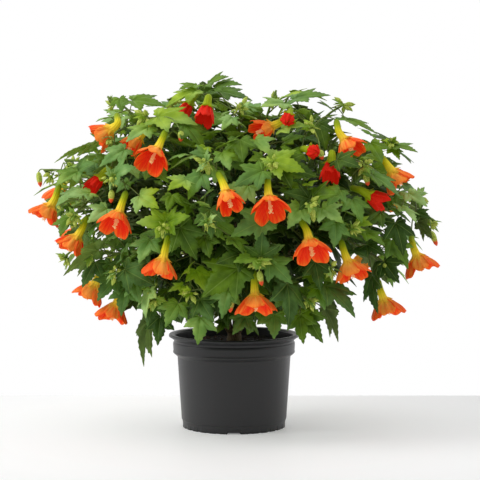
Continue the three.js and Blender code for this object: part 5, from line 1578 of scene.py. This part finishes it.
# %% Branches
for number, bloom in enumerate(blooms, 1):
    bloom["dark"] = number in DARK_BELLS
rng = np.random.default_rng(2024)
branch_pieces = []
for node, shoots in enumerate(stems):
    bands = branch_shoots(shoots)
    for kind, half, rings in kinds:
        group = [leaf for leaf in kind if leaf["node"] == node]
        if group:
            # Leaf tones hold painted light and shade by place and facing.
            bands += leaf_bands(group, half, rings, node * 7 + rings, leaf_tones_and_painted_light(group, rng))
    for bloom in [bloom for bloom in blooms if bloom["node"] == node]:
        bands += [stalk_band(bloom), tube_band(bloom)]
    for bud in [bud for bud in hanging if bud["node"] == node]:
        bands += hanging_bands(bud)
    for path in shoots:
        way = unit(path[-1] - path[-2])
        point = bunch_place(path[-1], way)
        bands += [*bud_bands(path[-1], point, way, rng), bract_band(point, way, rng)]
        bands += young_bands(point, way, node, rng)
    branch_pieces.append(build(f"branch_{node + 1}", bands, "leaf", f"leafy_branch_{node + 1}"))
print(len(branch_pieces), "branches,", sum(len(p.data.polygons) for p in branch_pieces), "faces")

# %% [markdown]
# ## Bells
# Five petals leave the tube on narrow claws and widen like spoons, so their rims leave notches between
# them. The petal toward the viewer is held out, the far ones hang down. So each petal has its own reach and
# its own hang, and the deep red inside and the cream column show.

# %% Petals
PETAL_ROWS, PETAL_COLUMNS = 11, 17
ROOT_RADIUS, ROOT_DEPTH, DARK_REACH = 5.4, -1.5, 0.86
PETAL_REACH = np.array([0.86, 0.96, 0.91, 0.87, 0.94])[:, None, None]
PETAL_HANG = np.array([0.84, 1.02, 1.2, 1.24, 1.08])[:, None, None]
# Each petal's tone, partly painted light: the petal toward the viewer is palest, as if lit, the far ones
# darker.
PETAL_TONE_AND_LIGHT = np.array([1.25, 0.5, 0.3, 0.3, 0.4])
PETAL_THICK, ROLLED_RUN, ROLLED_DEPTH = 0.44, 3, 17


def petal_grid(rng):
    """For five petals: a from -1 to 1 across, b from 0 to 1 along, the reach and the turn. The reach is b
    less a share that grows with |a| to the power 2.6, which rounds the spoon. The half width in degrees is
    25 at the claw and rises by a sine to 46. one draws a value for each petal."""
    b = np.linspace(0, 1, PETAL_ROWS)[None, :, None]
    a = np.linspace(-1, 1, PETAL_COLUMNS)[None, None, :]
    k = np.arange(PETALS)[:, None, None]
    one = lambda low, high: rng.uniform(low, high, (PETALS, 1, 1))
    half = 25 + 21 * np.sin(np.clip(b * 1.25, 0, 1) * math.pi / 2)
    turn = np.radians(k * 360 / PETALS + a * half + one(-4, 4) + rng.uniform(-8, 8))
    reach = b * (1 - 0.38 * np.abs(a) ** 2.6) * one(0.92, 1.04)
    return a, b, reach, turn, one


def petal_sheets(bloom, rng):
    """Both sheets of five petals. With g the reach to the power 1.3, the radius is 0.4 g and 0.6 of its
    sine, and the depth 0.6 of the reach and 0.4 of its square, so the bell is a narrow claw that opens to a
    cone. Ruffles are a sine across that grows toward the rim. A rolled bloom swells and closes again
    instead."""
    e1, e2 = bell_frame(bloom)
    a, b, reach, turn, one = petal_grid(rng)
    rim = bloom["radius"] * (DARK_REACH if bloom["dark"] else 1) * PETAL_REACH * one(0.96, 1.03)
    slow = reach ** 1.3
    open_radius = ROOT_RADIUS + (rim - ROOT_RADIUS) * (0.6 * np.sin(slow * 1.5) + 0.4 * slow)
    open_depth = ROOT_DEPTH + SKIRT_DEPTH * PETAL_HANG * (0.6 * reach + 0.4 * reach ** 2) * one(0.94, 1.08)
    rolled_radius = ROOT_RADIUS * (1 - reach) + 1.2 + 4 * np.sin(math.pi * reach)
    rolled_depth = ROOT_DEPTH + ROLLED_DEPTH * reach
    closed = min(1, max(0, (ROLLED_UNDER - bloom["radius"]) / ROLLED_RUN))
    radius = open_radius * (1 - closed) + rolled_radius * closed
    depth = open_depth * (1 - closed) + rolled_depth * closed
    ruffle = np.sin(a * one(5, 9) + one(0, 6)) * b ** 3 * one(0.6, 1.6)
    flute = 1.1 * np.cos(a * math.pi * 2) * np.sin(math.pi * b)
    tile = a * 1.5 * np.sin(math.pi * np.clip(b * 0.9, 0, 1))
    out = e1 * np.cos(turn)[..., None] + e2 * np.sin(turn)[..., None]
    middle = bloom["mouth"] + out * (radius + tile + flute)[..., None]
    middle = middle + bloom["axis"] * (depth - ruffle)[..., None]
    normal = units(np.cross(np.gradient(middle, axis=2), np.gradient(middle, axis=1)))
    outside = np.sign((normal * out).sum(-1, keepdims=True).mean((1, 2), keepdims=True))
    shift = normal * outside * (PETAL_THICK / 2)
    return middle + shift, middle - shift


def petals_band(bloom, rng):
    """The petals as one band: across and along are their surface coordinates, and each has its own tone."""
    outer, inner = petal_sheets(bloom, rng)
    uv = np.stack(np.meshgrid(np.linspace(0, 1, PETAL_COLUMNS), np.linspace(0, 1, PETAL_ROWS)), -1)
    # Tones are partly painted light, palest on the petal toward the viewer.
    tones = PETAL_TONE_AND_LIGHT * rng.uniform(0.55, 1.0) + rng.uniform(-0.12, 0.12, PETALS)
    tones = np.zeros(PETALS) if bloom["dark"] else np.clip(tones, 0.1, 1)
    return slab_bands(outer[:, :, ::-1], inner[:, :, ::-1], PETAL, uv, tones)


ANTHERS, COLUMN_SHORT, COLUMN_SINK = 46, 3, 2
ANTHER_STATIONS = np.array([0, 0.6, 0.85, 1.1])[:, None]
ANTHER_RADII = [0.3, 0.35, 0.85, 0.35]


def column_bands(bloom, rng):
    """The column of joined stamens with its bunch of anthers: knobs on short threads all round its lower
    half."""
    e1, e2 = bell_frame(bloom)
    length = COLUMN_LENGTH - COLUMN_SHORT
    down = lambda share: bloom["mouth"] + bloom["axis"] * (share * length - COLUMN_SINK)
    t = np.linspace(0, 1, 8)
    radii = np.interp(t, [0, 0.3, 0.7, 1], [2.2, 1.9, 1.8, 1.1])
    column = pipe_band(down(t[:, None])[None], radii[None], 8, COLUMN)
    start = down(rng.uniform(0.5, 1.0, (ANTHERS, 1)))[:, None]
    turn = rng.uniform(0, ANY_TURN, (ANTHERS, 1))
    out = e1 * np.cos(turn) + e2 * np.sin(turn)
    way = units(out + bloom["axis"] * rng.uniform(-0.1, 0.7, (ANTHERS, 1)))
    reach = rng.uniform(2.0, 3.6, (ANTHERS, 1))
    paths = start + way[:, None] * ANTHER_STATIONS * reach[:, None]
    return [column, pipe_band(paths, np.broadcast_to(ANTHER_RADII, (ANTHERS, 4)), 5, COLUMN)]


rng = np.random.default_rng(404)
bells = []
for index, bloom in enumerate(blooms):
    bands = [petals_band(bloom, rng)]
    if bloom["radius"] > ROLLED_UNDER and not bloom["dark"]:
        bands += column_bands(bloom, rng)
    bells.append(build(f"bell_{index + 1}", bands, "petal", f"bloom_{index + 1}"))
print(len(bells), "bells,", sum(len(p.data.polygons) for p in bells), "faces")

# %% [markdown]
# ## Pot
# A blown plastic nursery pot: a rolled rim, a groove, a collar, and a wall that narrows to a foot with drain
# openings. It is one outline turned round the axis. The foot's rows rise where an opening is.

# %% Pot sizes
COLLAR_RADIUS, BODY_TOP_RADIUS, BODY_FOOT_RADIUS, FOOT_RADIUS = 91.5, 85.0, 79.0, 77.5
FOOT_BAND, WALL, FLOOR, LIP_DEPTH = 11.0, 1.8, 2.6, 9.0
GROOVE, GROOVE_DEPTH, COLLAR_DEPTH, COLLAR_STEP = 3.0, 1.2, 16.0, 5.0
DRAIN_WIDTH, DRAIN_HEIGHT, DRAIN_REACH = 20.0, 7.0, 14.0
NOTCH_STEP, NOTCH_WIDTH, NOTCH_HEIGHT = 12, 6.0, 1.8
POT_STEPS = 144


def softened(outline, cut):
    """Each corner replaced by four points of an arc-like curve that starts and ends a cut before the
    corner."""
    made = [outline[0]]
    for before, corner, after in zip(outline[:-2], outline[1:-1], outline[2:]):
        first, last = before - corner, after - corner
        reach = min(cut, 0.45 * np.linalg.norm(first), 0.45 * np.linalg.norm(last))
        a, b = corner + units(first) * reach, corner + units(last) * reach
        t = np.linspace(0, 1, 5)[:, None]
        made += list((1 - t) ** 2 * a + 2 * t * (1 - t) * corner + t * t * b)
    return np.array([*made, outline[-1]])


def turned_body(rows, angles, material):
    """A closed body: rows of (radius, height) given for every angle, closed by a fan at both ends."""
    wall = np.stack([rows[..., 0] * np.cos(angles), rows[..., 0] * np.sin(angles), rows[..., 1]], -1)
    ends = np.array([[0, 0, rows[0, :, 1].mean()], [0, 0, rows[-1, :, 1].mean()]])
    points = np.vstack([wall.reshape(-1, 3), ends])
    uv = ring_uv(angles / (2 * math.pi), 1, len(rows))
    return band(points, ring_faces(1, len(rows), len(angles)), material, uv)

# %% Foot with its openings
EDGE, DRAIN_CLEAR = 0.0006, 12
FOOT_HOLE, RING_WALL = 6, 2.5
drain_turns = [math.radians(step) for step in range(0, 360, 90)]
notch_steps = [step for step in range(NOTCH_STEP, 360 + NOTCH_STEP, NOTCH_STEP)
               if DRAIN_CLEAR < step % 90 < 90 - DRAIN_CLEAR]
notch_turns = [math.radians(step) for step in notch_steps]


def opened(turns, width, height, angles):
    """The height of the openings at each angle: full height within half a width of a middle, else nothing."""
    gap = np.abs((angles[:, None] - np.array(turns) + math.pi) % (2 * math.pi) - math.pi)
    return np.where(gap.min(1) < width / FOOT_RADIUS / 2, height, 0.0)


def edge_angles(turns, width):
    """Two angles close together at each side of each opening, so that its edge is upright."""
    sides = np.array([-1, 1]) * width / FOOT_RADIUS / 2
    pairs = np.array([-EDGE, EDGE])
    return (np.array(turns)[:, None, None] + sides[:, None] + pairs).ravel() % (2 * math.pi)


steps = np.linspace(0, 2 * math.pi, POT_STEPS, endpoint=False)
edges = [edge_angles(drain_turns, DRAIN_WIDTH), edge_angles(notch_turns, NOTCH_WIDTH)]
angles = np.sort(np.concatenate([steps, *edges]))
drains = opened(drain_turns, DRAIN_WIDTH, DRAIN_HEIGHT, angles)
both = np.maximum(drains, opened(notch_turns, NOTCH_WIDTH, NOTCH_HEIGHT, angles))
shut = np.zeros(len(angles))
inner_radius, ring_radius = FOOT_RADIUS - DRAIN_REACH, FOOT_RADIUS - RING_WALL
foot_rows = [(FOOT_HOLE, shut), (inner_radius, shut), (inner_radius, drains), (ring_radius, drains),
             (ring_radius, both), (FOOT_RADIUS, both)]
foot_rows = [np.stack([np.full(len(angles), float(radius)), height], -1) for radius, height in foot_rows]
print(len(drain_turns), "drains,", len(notch_turns), "notches")

# %% Wall, collar and lip
lip_foot = POT_HEIGHT - LIP_DEPTH
collar_top = lip_foot - GROOVE
collar_foot = collar_top - COLLAR_DEPTH
body_top = collar_foot - COLLAR_STEP
throat = COLLAR_RADIUS - GROOVE_DEPTH
outline = np.array([
    [FOOT_RADIUS, NOTCH_HEIGHT + 6], [FOOT_RADIUS + 0.4, FOOT_BAND], [BODY_FOOT_RADIUS, FOOT_BAND + 0.8],
    [BODY_TOP_RADIUS, body_top - 1.5], [BODY_TOP_RADIUS + 0.7, body_top],
    [COLLAR_RADIUS - 1.2, collar_foot - 1.2], [COLLAR_RADIUS + 0.4, collar_foot + 0.6],
    [COLLAR_RADIUS - 0.3, collar_foot + 3.2], [COLLAR_RADIUS + 0.3, collar_top - 3],
    [COLLAR_RADIUS - 0.2, collar_top - 0.6], [throat, collar_top], [throat, lip_foot],
    [LIP_RADIUS - 2.2, lip_foot + 4.2], [LIP_RADIUS, lip_foot + 5], [LIP_RADIUS, POT_HEIGHT - 1.4],
    [LIP_RADIUS - 1.2, POT_HEIGHT], [throat - WALL + 2, POT_HEIGHT - 0.6], [throat - WALL, POT_HEIGHT - 3],
    [throat - WALL, collar_foot + 1], [BODY_TOP_RADIUS - WALL, body_top - 1], [FOOT_RADIUS - WALL, FLOOR],
    [2, FLOOR],
])
outline = softened(outline, 1.0)
wall_rows = np.broadcast_to(outline[:, None], (len(outline), len(angles), 2))
pot_rows = np.concatenate([foot_rows, wall_rows])
print(len(pot_rows), "rings from foot to rim")

# %% Pot finish
def pot_finish():
    """Black plastic, a little dusty: broad and fine clouds and a few duller spots."""
    bench = bench_for("pot_plastic")
    fine = bench.noise(1400, 3)
    broad = bench.noise(14, 3)
    dust = bench.hold((bench.noise(160, 4, rough=0.7) - 0.62) * 6)
    colour = bench.mix(bench.hold(broad * 0.8 + dust * 0.35), paint(22, 22, 23), paint(35, 35, 37))
    rough = 0.34 + broad * 0.14 + dust * 0.15
    return bench.finish(colour, rough, fine * 0.4 + broad * 0.6, 0.0003)


POT = pot_finish()
pot_piece = build("nursery_pot", [turned_body(pot_rows, angles, POT)], "pot", "pot")
print("pot faces", len(pot_piece.data.polygons))

# %% [markdown]
# ## Soil and woody crown
# Dark peat with pieces of bark fills the pot to a finger below its rim. The shoots come from one woody crown.

# %% Soil
SOIL_TOP, SOIL_RADIUS, SOIL_HOLE = 127.0, 82.0, 3.0
SOIL_SIDES, SOIL_RINGS = 120, 44
SOIL_WALL = np.array([[SOIL_HOLE, 3.2], [74.5, 3.2], [81.8, 104.0], [82.4, 122.0]])


def clods(x, y):
    """Heights of loose soil: a few crossed waves with odd lengths."""
    return (0.9 * np.sin(x * 0.21 + 1.3 * np.sin(y * 0.17)) + 0.7 * np.sin(y * 0.37 + 1.1 * np.sin(x * 0.29))
            + 0.5 * np.sin(x * 0.83 + y * 0.51) * np.sin(y * 0.71 - x * 0.2))


soil_angles = np.linspace(0, 2 * math.pi, SOIL_SIDES, endpoint=False)
soil_radii = np.linspace(SOIL_RADIUS, SOIL_HOLE, SOIL_RINGS)[:, None] + np.zeros(SOIL_SIDES)
soil_x, soil_y = soil_radii * np.cos(soil_angles), soil_radii * np.sin(soil_angles)
top = np.stack([soil_radii, SOIL_TOP + clods(soil_x, soil_y)], -1)
sides = np.broadcast_to(SOIL_WALL[:, None], (len(SOIL_WALL), SOIL_SIDES, 2))
print("soil from", round(top[..., 1].min(), 1), "to", round(top[..., 1].max(), 1), "mm at its top")


def soil_finish():
    """Nearly black peat with brown crumbs."""
    bench = bench_for("soil")
    crumbs = bench.noise(420, 6, rough=0.7)
    grains = bench.noise(1500, 2)
    colour = bench.ramp(crumbs, (0.3, 14, 9, 6), (0.55, 30, 20, 13), (0.75, 62, 40, 24))
    return bench.finish(colour, 0.95, crumbs * 0.8 + grains * 0.3, 0.002)


def chip_finish():
    """Bark from dark brown to light brown by its tone."""
    bench = bench_for("bark_chip")
    grain = bench.noise(500, 4)
    tone = bench.value("tone")
    share = bench.hold(tone + (grain - 0.5) * 0.6)
    colour = bench.ramp(share, (0, 26, 17, 11), (0.6, 56, 35, 20), (1, 104, 66, 36))
    return bench.finish(colour, 0.85, grain, 0.001)


SOIL, CHIP = soil_finish(), chip_finish()
CHIPS, CHIP_RADII = 260, [0.3, 0.9, 0.8, 0.3]
rng = np.random.default_rng(61)
reach, turn = np.sqrt(rng.uniform(0.03, 0.92, CHIPS)) * SOIL_RADIUS, rng.uniform(0, ANY_TURN, CHIPS)
chip_x, chip_y = reach * np.cos(turn), reach * np.sin(turn)
chip_at = np.stack([chip_x, chip_y, SOIL_TOP + 0.6 + clods(chip_x, chip_y)], -1)
chip_way = units(rng.normal(size=(CHIPS, 3)) * [1, 1, 0.25])
long = rng.uniform(2.0, 5.5, (CHIPS, 1, 1))
chip_paths = chip_at[:, None] + chip_way[:, None] * np.linspace(-0.5, 0.5, 4)[:, None] * long
chip_radii = np.broadcast_to(CHIP_RADII, (CHIPS, 4)) * rng.uniform(0.6, 1.5, (CHIPS, 1))
soil_bands = [turned_body(np.concatenate([sides, top]), soil_angles, SOIL),
              pipe_band(chip_paths, chip_radii, 5, CHIP, rng.uniform(0, 1, CHIPS))]
soil_piece = build("potting_soil", soil_bands, "soil", "soil")
print("soil faces", len(soil_piece.data.polygons))

# %% Woody crown
CROWN_RINGS, CROWN_SIDES, WOODY_POINTS, WOODY_SIDES = 9, 20, 20, 10


def bark_finish():
    """Grey brown bark, its ridges drawn out along the height."""
    bench = bench_for("bark")
    where = bench.node("ShaderNodeMapping", None, {"Vector": bench.place(), "Scale": (1, 1, 0.25)})
    ridges = bench.noise(700, 4, where)
    colour = bench.ramp(ridges, (0.3, 70, 54, 36), (0.55, 112, 94, 62), (0.75, 136, 128, 88))
    return bench.finish(colour, 0.8, ridges, 0.001)


BARK = bark_finish()
crown_path = between(UP * CROWN_FOOT, UP * CROWN_TOP, CROWN_RINGS)
knots = np.random.default_rng(5).uniform(0.88, 1.06, (1, CROWN_RINGS, CROWN_SIDES))
crown_radii = CROWN_RADIUS * np.linspace(1.0, 0.86, CROWN_RINGS)[:, None] * knots
woody_bands = [pipe_band(crown_path[None], crown_radii, CROWN_SIDES, BARK)]
for main, *_ in stems:
    path = rounded(main, PER_BEND)[:PER_BEND * WOODY_BENDS + 1].copy()
    path[0] = [path[0][0] * 0.6, path[0][1] * 0.6, CROWN_TOP - 8]
    radii = np.linspace(STEM_RADIUS, taper(STEM_RADIUS, WOODY_SHARE), WOODY_POINTS)
    woody_bands.append(pipe_band(evenly(path, WOODY_POINTS)[None], radii[None], WOODY_SIDES, BARK))
woody_piece = build("woody_crown", woody_bands, "bark", "woody_stems")
print("crown faces", len(woody_piece.data.polygons))

# %% [markdown]
# ## Floor and light
# The table ends some 20 cm behind the pot, and past it everything is white. A large soft light stands at the
# upper left, and the white surroundings fill the shadows.

# %% Floor
TABLE_SIDE, TABLE_FRONT, TABLE_BACK = 4000, -3200, 296.0
mesh = bpy.data.meshes.new("table")
corners = np.array([(-TABLE_SIDE, TABLE_FRONT, 0), (TABLE_SIDE, TABLE_FRONT, 0), (TABLE_SIDE, TABLE_BACK, 0),
                    (-TABLE_SIDE, TABLE_BACK, 0)])
mesh.from_pydata((corners * MM).tolist(), [], [(0, 1, 2, 3)])
table = bpy.data.objects.new("table", mesh)
bpy.context.scene.collection.objects.link(table)
bench = bench_for("table_top")
away = bench.node("ShaderNodeVectorMath", dict(operation="LENGTH"), {0: bench.place()}, 1)
# Painted light: the pale floor is painted lighter near the pot and darker far off, to lift the shade round the
# pot.
floor_with_painted_light = bench.mix(bench.hold((away - 0.25) * 1.6), paint(252, 253, 253), paint(218, 219, 219))
# A painted glow near the pot stands for light bounced onto the floor.
near = bench.mix(bench.hold(1 - away * 1.8), BLACK, WHITE)
mesh.materials.append(bench.finish(floor_with_painted_light, 0.6, bench.noise(30, 2), 0.0001, (near, 0.16)))
table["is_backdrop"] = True
print("table ends", TABLE_BACK, "mm behind the pot's axis")

# %% Light
FRONT_SHARE, FRONT_SLOPE, HEIGHT_SLOPE, LEAST_LIGHT = 0.8, 1.25, 1.1, 0.3
world = bpy.data.worlds.new("studio")
bpy.context.scene.world = world
bench = Bench(world)
way = bench.node("ShaderNodeTexCoord")
share = bench.hold(FRONT_SHARE + bench.part(way, 1) * FRONT_SLOPE + bench.part(way, 2) * HEIGHT_SLOPE)
strength = LEAST_LIGHT + (1 - LEAST_LIGHT) * share
room = bench.node("ShaderNodeBackground", None, {"Color": WHITE, "Strength": strength})
bench.node("ShaderNodeOutputWorld", None, {"Surface": room})

KEY_PLACE, KEY_AIM = np.array([-3300.0, -1300.0, 2700.0]), np.array([0.0, 0.0, 280.0])
KEY_WIDTH, KEY_POWER = 2000, 76
lamp = bpy.data.lights.new("key", "AREA")
lamp.size, lamp.energy = KEY_WIDTH * MM, KEY_POWER
key = bpy.data.objects.new("key", lamp)
way = unit(KEY_AIM - KEY_PLACE)
key.location = KEY_PLACE * MM
key.rotation_euler = (math.acos(-way[2]), 0, math.atan2(way[1], way[0]) - math.pi / 2)
bpy.context.scene.collection.objects.link(key)
bpy.context.scene.view_settings.view_transform = "Standard"
print("key light", round(math.dist(KEY_PLACE, KEY_AIM)), "mm from the plant")

# %% [markdown]
# ## Sizes and the end
# The dressed plant should fill the same box as the plain solids. Both boxes are printed.

# %% Finish
seen_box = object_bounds()
as_list = lambda corners: [[float(c) for c in corner] for corner in corners]
{"cad": as_list(cad_box), "visual": as_list(seen_box)}
print("visual box", seen_box)
